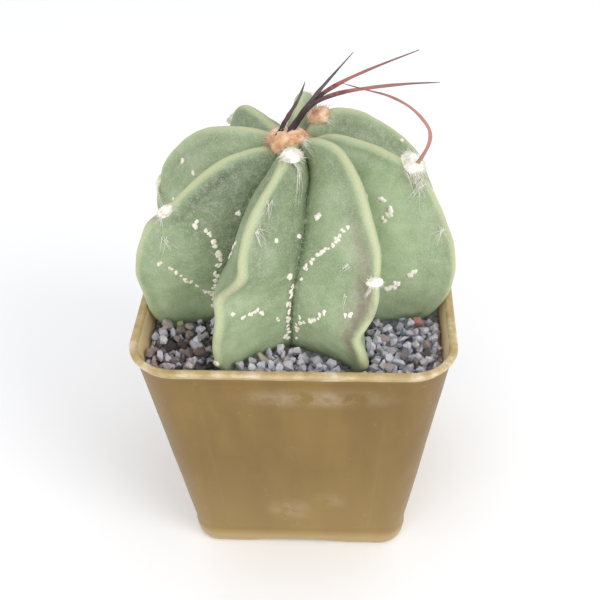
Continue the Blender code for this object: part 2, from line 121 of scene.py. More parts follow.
# Distance and height of the bottom of every furrow at the same stations, and the turns that two of them take
# there (degrees, towards +X).
FURROW = (
    (3, 36.8), (6.3, 35.6), (10.8, 33.4), (15.2, 29.7), (19, 24.3), (22, 17.5), (24, 10.5),
    (24.8, 3.5), (24.3, -4),
)
FURROW_TURNS = {
    "front_left": (3, 13, 6, 1, 0, -3.5, -3.5, -0.5, -2),
    "left": (0, 0, 0, 0, 0, -2, -4, -5.5, -6),
}
# The root's two stations below those: share of the last one's distance, and height.
ROOT_STATIONS = ((0.76, -11), (0.4, -18.5))
# The stem leans: its axis goes from one point to the other (mm), and it ends above and below.
AXIS_LOW = (0.3, 1.0, -4)
AXIS_HIGH = (-0.5, 4.9, 38)
APEX_HEIGHT = 36.3
ROOT_TIP_HEIGHT = -21.0
# Where a crest strays from its smooth line: rib, station, width in stations, sideways and outwards (mm).
CREST_WAVES = (
    ("front_left", 5.3, 0.35, 1.5, 0), ("front_left", 5.95, 0.28, -1.3, 0.2),
    ("front_left", 7.3, 0.3, -0.5, 0), ("front_right", 6.95, 0.3, -0.9, -0.4),
    ("front_right", 5.65, 0.22, 0, -0.5), ("front_right", 5.0, 0.4, 0.4, 0), ("right", 3.8, 0.2, 0, -0.7),
    ("right", 4.35, 0.3, 0, 0.5), ("left", 4.2, 0.2, 0, -0.8), ("left", 4.75, 0.3, 0, 0.6),
    ("rear_right", 0.9, 0.25, 0, -0.8), ("rear", 3.4, 0.22, 0, -0.7), ("rear_left", 4.1, 0.22, 0, -0.7),
    ("rear_left", 6.2, 0.4, 0.8, 0), ("left_rear", 5.3, 0.22, 0, -0.7), ("left_rear", 6.6, 0.4, -0.7, 0),
    ("rear_right", 5.4, 0.4, 0.7, 0), ("rear", 5.8, 0.4, -0.8, 0),
)
CREST_RADIUS = 1.6 * MM
# The share of a flank's grid that the crest's arc takes up.
CAP_SHARE = 0.3
# How far a flank bulges in its middle, and by how much less near the soil, from one station to another.
FACE_SWELL = 0.5 * MM
FOOT_HOLLOW = 1.9 * MM
FOOT_STATIONS = (6.3, 8.0)
# Relief of the skin (mm): the groove beside the crest band, the chevrons, and the soft unevenness's heights and
# wavelengths.
GROOVE_DEPTH, GROOVE_AT, GROOVE_WIDTH = 0.5, 3.5, 1.1
CHEVRON_HEIGHT, CHEVRON_SPACING, CHEVRON_SLOPE = 0.05, 4.6, 0.55
STATION_LENGTH = 9.0
UNEVENNESS = ((0.24, 19), (0.09, 6))
# The painted shadow line under the crest band: how much darker, and its distance from the crest and width (mm).
CREST_SHADOW_TONE, CREST_SHADOW_AT, CREST_SHADOW_WIDTH = 0.17, 4.3, 1.4
# Pieces that reach the CAD's box are kept this far inside it.
BOX_GAP = 0.02 * MM

# Areoles: CAD node, rib, station along it, shift across the crest towards the next rib (mm), and the tuft's
# half length along the crest, half width across it and half thickness (mm).
AREOLES = (
    ("areole_wool_1_front_left", "front_left", 1.55, 1.5, (2.6, 2.4, 1.0)),
    ("areole_wool_2_front_left", "front_left", 7.75, 0, (0.8, 0.7, 0.4)),
    ("areole_wool_3_front_right", "front_right", 5.62, -0.6, (1.2, 2.2, 0.9)),
    ("areole_wool_4_right", "right", 3.8, 1.3, (3.0, 3.3, 1.9)),
    ("areole_wool_5_rear_right", "rear_right", 0.8, 0, (2.7, 2.5, 1.8)),
    ("areole_wool_6_rear", "rear", 3.4, 0, (2.1, 1.9, 1.0)),
    ("areole_wool_7_rear_left", "rear_left", 4.1, 0, (2.0, 1.8, 1.0)),
    ("areole_wool_8_left_rear", "left_rear", 5.3, 0, (1.8, 1.6, 0.9)),
    ("areole_wool_9_left", "left", 4.25, 0.2, (2.2, 1.7, 1.0)),
)
# The crown's wool: its place (mm, height above the rim) and its half sizes (mm).
CROWN_WOOL_PLACE = (-1.6, 2.9, 38.1)
CROWN_WOOL_SIZE = (5.1, 4.2, 2.4)
# Cobweb hairs that trail from the areoles over the skin: rib, side, and where they start and end
# (station, share of the way into the furrow), how many, and how far they spread (mm).
WISPS = (
    ("right", -1, (3.75, 0.1), (4.7, 0.26), 40, 1.1), ("right", -1, (4.2, 0.2), (4.6, 0.62), 14, 1.6),
    ("front_right", -1, (0.8, 0.1), (1.6, 0.6), 22, 0.8), ("front_left", 1, (1.8, 0.5), (3.1, 0.8), 12, 0.6),
    ("front_right", -1, (5.62, 0.08), (6.0, 0.36), 40, 0.28), ("left", 1, (4.4, 0.1), (4.75, 0.32), 16, 0.5),
    ("front_left", 1, (1.7, 0.3), (2.2, 0.75), 16, 0.5),
    ("rear_right", -1, (0.9, 0.15), (1.35, 0.55), 26, 0.4),
    ("front_left", 1, (3.9, 0.3), (4.2, 0.48), 14, 0.8), ("front_right", -1, (5.2, 0.5), (5.4, 0.6), 7, 0.8),
    ("front_right", -1, (5.9, 0.5), (6.2, 0.56), 6, 0.6), ("front_left", 1, (3.0, 0.3), (3.7, 0.45), 9, 1.3),
    ("left", 1, (5.0, 0.4), (5.5, 0.5), 7, 1.2), ("right", -1, (5.4, 0.3), (5.7, 0.42), 8, 1.2),
    ("rear", 1, (3.6, 0.1), (4.4, 0.4), 20, 0.6), ("rear_left", -1, (4.3, 0.1), (5.0, 0.45), 20, 0.6),
    ("left_rear", 1, (5.4, 0.1), (6.0, 0.45), 18, 0.6),
)

# Spines: points (mm, heights above the rim) from inside the wool to the tip.
SPINES = {
    "spine_short": ((-3.9, 2.3, 39.6), (-2.6, 4.2, 42), (-1.1, 4.5, 44.6), (1, 5.2, 48), (2.7, 6, 52.2)),
    "spine_straight": (
        (-2.7, 2.4, 39.4), (0, 4.4, 42), (1.8, 4.7, 44.6), (5.2, 5.4, 49.1), (8.3, 5.9, 52.8), (14.1, 7, 59.3),
    ),
    "spine_upper": (
        (-2.2, 3.0, 39.4), (0.6, 5, 42.3), (4, 5.6, 46.6), (7.1, 6.1, 49.3), (12.4, 6.8, 52.3),
        (19.8, 7.7, 55.4), (29.4, 9, 58.8),
    ),
    "spine_lower": (
        (-2.3, 1.9, 39.2), (0.2, 3.7, 42), (2.3, 3.9, 45.2), (5.2, 4.2, 47.8), (10.8, 4.5, 50),
        (18.5, 5, 51.2), (27.1, 5.5, 51.9), (34.4, 6, 52),
    ),
    "spine_hooked": (
        (29.2, -4.8, 36.4), (29.9, -6.2, 38.4), (31.4, -8, 43.1), (31.7, -7.5, 45.9), (30.4, -7.1, 48.6),
        (27, -6.3, 51.9), (22.3, -5.4, 54.2), (16.6, -4.4, 55.4), (11.1, -3.5, 56.6),
    ),
}
THICK_SPINE = 1.8 * MM
THIN_SPINE = 1.25 * MM

# Gravel: the fines' level, the height map's cell, how many stones are dropped, and the smallest and largest
# radius and the highest top (mm) of the small ones, which fall first, and of the large ones.
FINES_LEVEL = 68 * MM
CELL = 0.4 * MM
STONE_TRIALS = 20000
SMALL_STONES = (0.8, 1.5, 70.9)
LARGE_STONES = (1.4, 2.4, 72.4)

# A fleck's dome: its number of sides, its height as a share of its radius, and how far it stands off the skin.
FLECK_SIDES = 9
FLECK_RISE = 0.45
FLECK_LIFT = 0.03 * MM
# Radii of the fibres on a tuft and of the cobweb's hairs.
TUFT_FIBRE = 0.07 * MM
COBWEB_HAIR = 0.05 * MM

# The camera: where it stands, and how far it looks down, to the side and tilts (degrees).
CAMERA_PLACE = (14.28 * MM, -210.72 * MM, 234.05 * MM)
CAMERA_PITCH, CAMERA_YAW, CAMERA_ROLL = 38.52, -3.8, -1.74


# ---------------------------------------------------------------- numbers, meshes and nodes

def unit(vectors):
    """Vectors divided by their length."""
    return vectors / np.maximum(np.linalg.norm(vectors, axis=-1, keepdims=True), 1e-12)


def smooth_step(low, high, value):
    """0 below low, 1 above high, and the cubic 3t^2 - 2t^3 between."""
    t = np.clip((value - low) / (high - low), 0, 1)
    return t * t * (3 - 2 * t)


def ripple(points, length, seed):
    """Soft noise from about -1 to 1: the mean of nine plane waves of random direction and phase, of about that
    length."""
    pick = np.random.default_rng(seed)
    ways = unit(pick.normal(size=(9, 3))) * (2 * math.pi / length) * pick.uniform(0.6, 1.5, (9, 1))
    phases = pick.uniform(0, 2 * math.pi, 9)
    return np.sin(points @ ways.T + phases).mean(-1) * 1.8


def spline(knots, at):
    """The Catmull-Rom curve through the knots, read at stations 0, 1, 2 and so on and between them."""
    knots = np.asarray(knots, float)
    padded = np.vstack([2 * knots[0] - knots[1], knots, 2 * knots[-1] - knots[-2]])
    at = np.asarray(at, float)
    index = np.clip(at.astype(int), 0, len(knots) - 2)
    t = (at - index)[:, None]
    p0, p1, p2, p3 = (padded[index + shift] for shift in range(4))
    bend = (2 * p0 - 5 * p1 + 4 * p2 - p3) * t**2 + (3 * p1 - p0 - 3 * p2 + p3) * t**3
    return 0.5 * (2 * p1 + (p2 - p0) * t + bend)


def linear(colour):
    """An sRGB hex colour as linear red, green, blue and alpha."""
    value = int(colour.lstrip("#"), 16)
    srgb = np.array([value >> 16, value >> 8 & 255, value & 255]) / 255
    rgb = np.where(srgb <= 0.04045, srgb / 12.92, ((srgb + 0.055) / 1.055) ** 2.4)
    return (*rgb.tolist(), 1.0)


def grid_faces(rows, columns, closed_columns=True):
    """Quads of a grid of points stored row by row; closed columns wrap round."""
    r = np.arange(rows - 1)[:, None]
    c = np.arange(columns if closed_columns else columns - 1)[None, :]
    low, high = r * columns, (r + 1) * columns
    after = (c + 1) % columns
    return np.stack([low + c, low + after, high + after, high + c], -1).reshape(-1, 4)


def fan_faces(ring, centre, turned=False):
    """Triangles from a closed ring of point numbers to one centre point."""
    after = np.roll(ring, -1)
    faces = np.stack([ring, after, np.full(len(ring), centre)], -1)
    return faces[:, ::-1] if turned else faces


def make_piece(name, points, faces, finish, slot, stands_for, smooth=True, **attributes):
    """A mesh at the origin that rides on the root body and stands for CAD nodes; attributes are per point."""
    mesh = bpy.data.meshes.new(name)
    lists = [face for group in faces for face in np.asarray(group).tolist()]
    mesh.from_pydata(np.asarray(points).reshape(-1, 3).tolist(), [], lists)
    for key, values in attributes.items():
        values = np.asarray(values, np.float32)
        colour = values.ndim > 1
        layer = mesh.attributes.new(key, "FLOAT_COLOR" if colour else "FLOAT", "POINT")
        layer.data.foreach_set("color" if colour else "value", values.ravel())
    mesh.materials.append(finish)
    mesh.polygons.foreach_set("use_smooth", [smooth] * len(mesh.polygons))
    mesh.update()
    item = bpy.data.objects.new(name, mesh)
    bpy.context.scene.collection.objects.link(item)
    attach(item, "root")
    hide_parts(*stands_for)
    return item


def add(tree, kind, inputs=None, stops=None, **settings):
    """Adds a node: settings are its properties, inputs its sockets' links, values or hex colours, and stops a
    ramp's positions and colours."""
    made = tree.nodes.new("ShaderNode" + kind)
    for key, value in settings.items():
        setattr(made, key, value)
    for key, value in (inputs or {}).items():
        if isinstance(value, bpy.types.NodeSocket):
            tree.links.new(value, made.inputs[key])
        else:
            made.inputs[key].default_value = linear(value) if isinstance(value, str) else value
    if stops:
        ramp = made.color_ramp.elements
        while len(ramp) < len(stops):
            ramp.new(0.5)
        for element, (position, colour) in zip(ramp, stops):
            element.position = position
            element.color = linear(colour) if isinstance(colour, str) else (colour,) * 3 + (1.0,)
    return made


def start_finish(name, **shader_values):
    """A new material with plain values on its Principled shader's own sockets: the material, its node tree and
    the Object coordinates that its patterns follow."""
    made = bpy.data.materials.new(name)
    made.use_nodes = True
    tree = made.node_tree
    for key, value in shader_values.items():
        tree.nodes["Principled BSDF"].inputs[key.replace("_", " ")].default_value = value
    return made, tree, add(tree, "TexCoord").outputs["Object"]


def end_finish(tree, colour, height, depth, strength):
    """Joins a colour and the relief of a height, that many millimetres deep, to the Principled shader."""
    shader = tree.nodes["Principled BSDF"]
    relief = add(tree, "Bump", {"Height": height, "Distance": depth * MM, "Strength": strength})
    tree.links.new(colour, shader.inputs["Base Color"])
    tree.links.new(relief.outputs["Normal"], shader.inputs["Normal"])


# ---------------------------------------------------------------- the stem's surface

def place(distance, height, bearing):
    """Points in metres from distances and heights in mm and bearings in degrees round the leaning axis."""
    low, high = np.array(AXIS_LOW), np.array(AXIS_HIGH)
    share = (height - low[2]) / (high[2] - low[2])
    angle = np.radians(bearing)
    x = low[0] + (high[0] - low[0]) * share + distance * np.sin(angle)
    y = low[1] + (high[1] - low[1]) * share - distance * np.cos(angle)
    return np.stack([x, y, height], -1) * MM + np.array([0, 0, POT_HEIGHT])


def with_root(stations):
    """Stations carried on below the soil line into the root crown."""
    distance, _, bearing = stations[-1]
    return list(stations) + [(share * distance, height, bearing) for share, height in ROOT_STATIONS]


def furrow_stations(number):
    """A furrow runs midway between the bearings of its two ribs, plus its own turns."""
    left, right = RIBS[RIB_NAMES[number]], RIBS[RIB_NAMES[(number + 1) % 8]]
    turns = FURROW_TURNS.get(RIB_NAMES[number], (0,) * len(FURROW))
    stations = []
    for step, (distance, height) in enumerate(FURROW):
        a, b = left[step][2], right[step][2]
        b += 360 if b < a else 0
        stations.append((distance, height, (a + b) / 2 + turns[step]))
    return with_root(stations)


def stem_curves(at):
    """The crests and the furrows as arrays [rib, station, xyz]; furrow i lies between ribs i and i + 1."""
    crests = np.array([place(*spline(with_root(rib), at).T) for rib in RIBS.values()])
    furrows = np.array([place(*spline(furrow_stations(number), at).T) for number in range(8)])
    left = np.roll(furrows, 1, axis=0)
    sideways = np.zeros((8, len(at), 1))
    outwards = np.zeros((8, len(at), 1))
    for rib, station, width, side, out in CREST_WAVES:
        bump = np.exp(-(((at - station) / width) ** 2))[:, None] * MM
        sideways[RIB_NAMES.index(rib)] += side * bump
        outwards[RIB_NAMES.index(rib)] += out * bump
    crests += unit(furrows - left) * sideways + unit(crests - (furrows + left) / 2) * outwards
    return crests, furrows


def rib_frame(crest, left, right):
    """A rib's own directions: across it, from its left furrow to its right, and inward, square to that."""
    across = unit(right - left)
    inward = (right + left) / 2 - crest
    return across, unit(inward - across * (inward * across).sum(-1, keepdims=True))


def rib_section(crest, furrow, side, across, inward, radius, share, face_swell):
    """One flank of a rib in cross-section, from the crest (share 0) to the furrow (share 1).

    The crest is an arc of a circle that the straight flank touches, and the flank swells by the arch 4t(1 - t)
    (it is hollow where the swell is negative).
    Returns the points, their outward normals, and the distance from the crest in metres."""
    to_furrow = furrow - crest
    a = (to_furrow * across).sum(-1, keepdims=True) * side
    b = (to_furrow * inward).sum(-1, keepdims=True) - radius
    reach = np.sqrt(a**2 + b**2)
    turn = np.arctan2(a, -b) - np.arccos(np.clip(radius / reach, -1, 1))
    cap = radius * turn
    flank = np.sqrt(np.maximum(reach**2 - radius**2, 1e-10))
    angle = turn * np.clip(share / CAP_SHARE, 0, 1)
    t = np.clip((share - CAP_SHARE) / (1 - CAP_SHARE), 0, 1)
    arc_w, arc_d = radius * np.sin(angle), radius * (1 - np.cos(angle))
    width = arc_w + t * flank * np.cos(turn)
    depth = arc_d + t * flank * np.sin(turn)
    out_w, out_d = np.sin(angle), -np.cos(angle)
    swell = face_swell * 4 * t * (1 - t) * np.clip(radius / CREST_RADIUS, 0, 1)
    width, depth = width + out_w * swell, depth + out_d * swell
    sides = across[..., None, :] * side
    points = crest[..., None, :] + sides * width[..., None] + inward[..., None, :] * depth[..., None]
    normals = sides * out_w[..., None] + inward[..., None, :] * out_d[..., None]
    return points, normals, np.where(share < CAP_SHARE, angle * radius, cap + t * flank)


def flank_swell(at):
    """How far the middle of a flank bulges: near the soil it is hollow, so ribs end in feet."""
    return (FACE_SWELL - FOOT_HOLLOW * smooth_step(*FOOT_STATIONS, at))[:, None]


def skin_grid(at, flank_points):
    """The skin at stations and across each rib: arrays [station, column, ...] of points, normals, distance from
    the crest (mm), share of the way into the furrow, side of the crest (-1 or 1) and rib number."""
    crests, furrows = stem_curves(at)
    # The crest's arc closes up towards the crown's middle and the root's tip.
    shrink = np.clip((at + 0.5) / 1.6, 0, 1) * np.clip((11 - at) / 2.5, 0, 1)
    radius = CREST_RADIUS * shrink[None, :, None]
    share = np.concatenate([np.linspace(0, CAP_SHARE, 6)[:-1], np.linspace(CAP_SHARE, 1, flank_points)])
    left = np.roll(furrows, 1, axis=0)
    across, inward = rib_frame(crests, left, furrows)
    flanks = []
    for furrow, side, order in ((left, -1, slice(None, 0, -1)), (furrows, 1, slice(None, -1))):
        points, normals, from_crest = rib_section(
            crests, furrow, side, across, inward, radius, share, flank_swell(at))
        shape = from_crest.shape
        flank = (points, normals, from_crest / MM, np.broadcast_to(share, shape), np.full(shape, float(side)))
        flanks.append([values[:, :, order] for values in flank])
    joined = [np.concatenate(pair, axis=2) for pair in zip(*flanks)]
    joined.append(np.broadcast_to(np.arange(8.0)[:, None, None], joined[2].shape))
    return [np.concatenate(list(values), axis=1) for values in joined]


def skin_relief(points, at, from_crest, share):
    """How far the skin stands out from its plain shape: a groove beside the crest band, chevrons that fall
    from crest to furrow, soft unevenness, and nothing at the crown's tip."""
    groove = -GROOVE_DEPTH * np.exp(-(((from_crest - GROOVE_AT) / GROOVE_WIDTH) ** 2))
    shrink = smooth_step(0.3, 2.2, at)[:, None] * (1 - smooth_step(0.93, 1.0, share))
    travel = at[:, None] * STATION_LENGTH + from_crest * CHEVRON_SLOPE
    waves = np.sin(travel * 2 * math.pi / CHEVRON_SPACING + 2.4 * ripple(points, 22 * MM, 3))
    chevrons = CHEVRON_HEIGHT * waves * smooth_step(2.5, 7.0, from_crest)
    uneven = sum(height * ripple(points, length * MM, 5 + n) for n, (height, length) in enumerate(UNEVENNESS))
    return (groove + chevrons + uneven) * shrink * MM


def make_skin(finish):
    """The whole stem in one piece: the skin grid moved out by its relief, closed at the apex and the root tip.
    Its attributes say how far each point is from the crest and into the furrow, how much painted light or shade
    it has, and how corky."""
    # Close stations down to the soil, wide ones on the root below it.
    at = np.concatenate([np.linspace(0, 8.4, 205), np.linspace(8.5, 10, 9)])
    points, normals, from_crest, share, side, rib = skin_grid(at, 19)
    points = points + normals * skin_relief(points, at, from_crest, share)[..., None]
    points = np.clip(points, np.array(CAD_LOW) + BOX_GAP, np.array(CAD_HIGH) - BOX_GAP)
    rings, columns = share.shape
    zero = np.array(0.0)
    top, tip = (place(zero, np.array(height), zero) for height in (APEX_HEIGHT, ROOT_TIP_HEIGHT))
    down = at[:, None]
    cork = np.zeros_like(share)
    for name, station, width, offset, reach, amount in CORK:
        spread = ((down - station) / width) ** 2 + ((from_crest * side - offset) / reach) ** 2
        cork += (rib == RIB_NAMES.index(name)) * amount * np.exp(-spread)
    # A painted shadow line under each crest band, beside the groove where the skin folds in, fading down the
    # rib.
    crest_shadow = np.exp(-(((from_crest - CREST_SHADOW_AT) / CREST_SHADOW_WIDTH) ** 2))
    painted_shading = 1 - CREST_SHADOW_TONE * crest_shadow * (1 - 0.6 * smooth_step(3.5, 6, down))
    # Painted light and shade on each flank, from the table of painted light and shade.
    for name, flank, station, width, near, far, change in PAINTED_LIGHT_AND_SHADE:
        on_flank = (rib == RIB_NAMES.index(name)) & (side == flank)
        change = change * np.exp(-(((down - station) / width) ** 2))
        painted_shading += on_flank * change * smooth_step(near, far, from_crest)
    attributes = {"from_crest": from_crest, "into_furrow": share, "painted_shading": painted_shading, "cork": np.clip(cork, 0, 1)}
    ends = {key: np.append(values.ravel(), values.ravel()[[0, -1]]) for key, values in attributes.items()}
    ring = np.arange(columns)
    faces = [
        grid_faces(rings, columns)[:, ::-1], fan_faces(ring, rings * columns),
        fan_faces(ring + (rings - 1) * columns, rings * columns + 1, True),
    ]
    make_piece("cactus_skin_body", np.vstack([points.reshape(-1, 3), top, tip]), faces, finish, "cactus_skin",
               ["cactus_body"], **ends)


# Brown-grey cork on the skin: rib, station, width in stations, its middle's distance from the crest (mm, minus
# on the left flank), reach across (mm), amount.
CORK = (
    ("front_right", 6.6, 0.6, -2.6, 1.7, 0.62), ("front_right", 7.3, 0.5, -2.8, 1.9, 0.6),
    ("front_right", 5.9, 0.4, -2.2, 2.0, 0.6), ("front_right", 5.2, 0.8, -3.6, 2.8, 0.5),
    ("front_right", 4.3, 0.8, -4.0, 2.8, 0.36), ("front_right", 6.2, 1.0, -8.0, 5.0, 0.2),
    ("front_right", 6.6, 0.8, -5.0, 3.0, 0.34), ("front_right", 6.3, 0.2, 0, 1.4, 0.5),
    ("right", 5.6, 0.9, -1, 4.0, 0.35), ("left", 6.0, 0.8, 0, 4.0, 0.3),
    ("front_left", 5.9, 0.5, -1, 2.5, 0.4), ("front_left", 5.5, 0.3, 1, 2.0, 0.4),
    ("rear", 6.0, 0.9, 0, 5.0, 0.4), ("left", 4.5, 0.3, 0, 3.5, 0.6), ("right", 4.1, 0.35, 0, 4.5, 0.6),
    ("right", 3.6, 0.2, 0, 3.0, 0.4), ("rear_left", 4.4, 0.3, 0, 3.0, 0.5), ("rear", 3.7, 0.3, 0, 3.0, 0.5),
    ("left_rear", 5.6, 0.3, 0, 3.0, 0.5), ("front_left", 7.4, 0.6, 0, 1.6, 0.35),
    ("front_left", 1.9, 0.3, 0, 3.0, 0.3),
)


# Painted light and shade on the skin, where the ribs shade one another and light bounces up from below: rib,
# side, station, width in stations, distances from the crest where the change starts and is full (mm; full
# nearer the crest where the second is less), change of painted shading.
PAINTED_LIGHT_AND_SHADE = (
    ("left", 1, 2.9, 1.7, 0, 5, -0.5), ("left", 1, 4.4, 1.2, 9, 20, -0.14), ("left", 1, 7.3, 0.7, 0, 5, 0.25),
    ("left", 1, 5.0, 1.1, 2, -3, -0.12), ("front_left", 1, 3.8, 1.8, 0, 5, -0.26),
    ("front_left", 1, 7.4, 1.2, 0, 5, 0.2), ("front_left", -1, 3.5, 2.0, 0, 5, -0.1),
    ("front_right", -1, 7.6, 1.2, 0, 5, 0.15), ("front_right", -1, 2.2, 1.2, 0, 5, -0.08),
    ("front_right", 1, 3.0, 2.0, 0, 5, -0.15), ("right", -1, 3.9, 1.4, 0, 5, 0.2),
    ("right", -1, 2.2, 1.3, 0, 5, 0.2), ("right", -1, 5.4, 1.6, 6, 15, 0.5),
    ("right", -1, 5.6, 1.2, 0, 4, -0.08), ("rear_right", -1, 2.5, 2.0, 0, 5, -0.22),
    ("left_rear", 1, 3.4, 1.6, 0, 5, -0.12), ("rear", -1, 4, 2, 0, 5, -0.1),
    ("rear_left", 1, 3.5, 2.2, 0, 5, -0.12),
)


def skin_finish():
    """Living cactus epidermis: waxy, matte grey-green with a pale bloom, so it looks soft, never glossy.
    Yellow-green along each crest, with painted shade in the furrows and painted light and shade on the flanks,
    fine pale stipple, cork where it has aged."""
    made, tree, where = start_finish("waxy_grey_green_epidermis", Roughness=0.62, IOR=1.42)
    from_crest, furrow, painted_shading, cork = (
        add(tree, "Attribute", attribute_name=name).outputs["Fac"]
        for name in ("from_crest", "into_furrow", "painted_shading", "cork"))
    # Clouds of tone 9 mm across.
    clouds = add(tree, "TexNoise", {
        "Vector": where, "Scale": 110.0, "Detail": 4.0, "Roughness": 0.6}).outputs["Fac"]
    face = add(tree, "ValToRGB", {"Fac": clouds}, stops=((0.3, "#83966f"), (0.5, "#94a57f"), (0.7, "#a4b38f")))
    # The face colour is scaled by the painted light and shade and by the painted shadow line under the crest.
    colour = add(tree, "VectorMath", {
        0: face.outputs["Color"], "Scale": painted_shading}, operation="SCALE").outputs["Vector"]
    # Painted shade: the skin darkens to deep green towards the bottoms of the furrows.
    deep = add(tree, "ValToRGB", {"Fac": furrow}, stops=((0.6, 0.0), (0.92, 0.2), (0.972, 0.6), (0.99, 1.0)))
    # Grey, dusty mottling 1.5 mm across.
    dust = add(tree, "TexNoise", {
        "Vector": where, "Scale": 620.0, "Detail": 5.0, "Roughness": 0.75}).outputs["Fac"]
    dusty = add(tree, "MapRange", {"Value": dust, "From Min": 0.48, "From Max": 0.72, "To Max": 0.5})
    # The crest band fades about 2 mm to each side, with a wavering edge.
    waver = add(tree, "MapRange", {"Value": clouds, "To Min": -0.9, "To Max": 0.9}).outputs["Result"]
    edge = add(tree, "Math", {0: from_crest, 1: waver}, operation="ADD").outputs["Value"]
    band = add(tree, "MapRange", {
        "Value": edge, "From Min": -0.2, "From Max": 2.2, "To Min": 0.85, "To Max": 0.0},
        interpolation_type="SMOOTHSTEP")
    # Pale wax dots, really about 0.15 mm, drawn 0.4 mm apart so that they show.
    dots = add(tree, "TexVoronoi", {"Vector": where, "Scale": 2600.0}).outputs["Distance"]
    stipple = add(tree, "MapRange", {
        "Value": dots, "From Min": 0.0, "From Max": 0.5, "To Min": 0.3, "To Max": 0.0})
    # Cork breaks up in grains of about 1 mm.
    grain = add(tree, "TexNoise", {
        "Vector": where, "Scale": 900.0, "Detail": 5.0, "Roughness": 0.7}).outputs["Fac"]
    worn = add(tree, "Math", {0: cork, 1: grain}, operation="MULTIPLY").outputs["Value"]
    corky = add(tree, "MapRange", {"Value": worn, "From Min": 0.1, "From Max": 0.5, "To Max": 0.85})
    # Each layer lies over the last: how much of it shows, and its colour.
    for amount, tint in (
        (deep.outputs["Color"], "#43552f"), (dusty.outputs["Result"], "#b3b9a4"),
        (band.outputs["Result"], "#c0c498"), (stipple.outputs["Result"], "#dfe4cf"),
        (corky.outputs["Result"], "#87796a"),
    ):
        mixed = add(tree, "Mix", {"Factor": amount, "A": colour, "B": tint}, data_type="RGBA")
        colour = mixed.outputs["Result"]
    pits = add(tree, "Math", {0: stipple.outputs["Result"], 1: grain}, operation="ADD").outputs["Value"]
    end_finish(tree, colour, pits, 0.12, 0.7)
    return made


# Felt flecks in chains on the ribs' flanks: rib, side (-1 left, 1 right of its crest), station and share of the
# way into the furrow at both ends, how far the chain bows (share), number of flecks, width of a fleck (mm).
FLECK_CHAINS = (
    ("front_right", -1, (4.25, 0.46), (5.15, 0.92), 0.03, 11, 1.0),
    ("front_right", -1, (3.75, 0.8), None, 0, 1, 1.4), ("front_right", -1, (5.5, 0.94), None, 0, 1, 1.3),
    ("front_right", -1, (6.9, 0.91), (7.6, 0.95), 0, 5, 0.9),
    ("front_right", -1, (6.4, 0.66), (7.1, 0.9), -0.04, 7, 1.0),
    ("front_right", -1, (6.42, 0.41), (6.44, 0.46), 0, 2, 1.1),
    ("front_right", 1, (3.65, 0.3), None, 0, 1, 0.9), ("front_left", 1, (4.3, 0.6), None, 0, 1, 1.4),
    ("front_left", 1, (4.25, 0.91), None, 0, 1, 1.7), ("front_left", 1, (5.42, 0.9), None, 0, 1, 1.4),
    ("front_left", 1, (5.8, 0.975), (7.75, 0.965), 0, 17, 0.95),
    ("front_left", 1, (6.34, 0.36), None, 0, 1, 0.9),
    ("front_left", 1, (6.42, 0.48), (6.42, 0.7), 0.02, 6, 1.0),
    ("front_left", 1, (6.86, 0.86), None, 0, 1, 1.0), ("left", 1, (3.8, 0.93), None, 0, 1, 1.6),
    ("left", 1, (4.3, 0.6), None, 0, 1, 1.4), ("left", 1, (4.55, 0.72), (5.65, 0.93), 0.06, 8, 1.3),
    ("left", 1, (5.77, 0.47), (7.05, 0.93), 0.02, 10, 1.0),
    ("left", 1, (6.0, 0.93), (7.5, 0.96), 0.02, 9, 1.2), ("left_rear", 1, (4.1, 0.42), None, 0, 1, 1.0),
    ("left_rear", 1, (4.17, 0.62), None, 0, 1, 1.0), ("left_rear", 1, (5.4, 0.5), (6.3, 0.9), 0.04, 7, 1.0),
    ("left_rear", -1, (4.4, 0.5), (5.4, 0.9), 0.05, 9, 1.1),
    ("left", -1, (4.6, 0.5), (5.6, 0.92), 0.05, 8, 1.1), ("left", -1, (6.3, 0.5), (7.0, 0.9), 0.03, 6, 1.0),
    ("right", -1, (4.05, 0.68), None, 0, 1, 1.6), ("right", -1, (4.45, 0.69), (4.62, 0.77), 0, 2, 1.7),
    ("right", -1, (6.28, 0.6), (6.85, 0.87), 0.02, 5, 1.45),
    ("right", 1, (4.4, 0.5), (5.3, 0.92), 0.05, 9, 1.1), ("right", 1, (6.2, 0.5), (6.9, 0.9), 0.03, 6, 1.0),
    ("rear_right", -1, (3.87, 0.3), None, 0, 1, 0.9),
    ("rear_right", -1, (5.2, 0.5), (6.2, 0.92), 0.05, 8, 1.1),
    ("rear_right", 1, (4.2, 0.45), (5.3, 0.92), 0.06, 10, 1.0),
    ("rear_right", 1, (6.3, 0.4), (7, 0.9), 0.03, 8, 1.0), ("rear", -1, (4.3, 0.5), (5.2, 0.9), 0.04, 8, 1.1),
    ("rear", 1, (4.5, 0.5), (5.6, 0.92), 0.05, 9, 1.1), ("rear", 1, (6.4, 0.5), (7.1, 0.9), 0.03, 6, 1.0),
    ("rear_left", -1, (4.2, 0.5), (5.3, 0.92), 0.05, 9, 1.0),
    ("rear_left", 1, (4.6, 0.45), (5.5, 0.92), 0.04, 8, 1.1),
    ("rear_left", 1, (6.3, 0.5), (7.1, 0.92), 0.03, 6, 1.0),
    ("front_left", -1, (4.4, 0.5), (5.2, 0.9), 0.04, 6, 1.0),
    ("front_left", -1, (6.3, 0.5), (7.2, 0.92), 0.03, 7, 1.1),
    ("front_right", 1, (4.8, 0.5), (5.7, 0.92), 0.04, 7, 1.0),
)


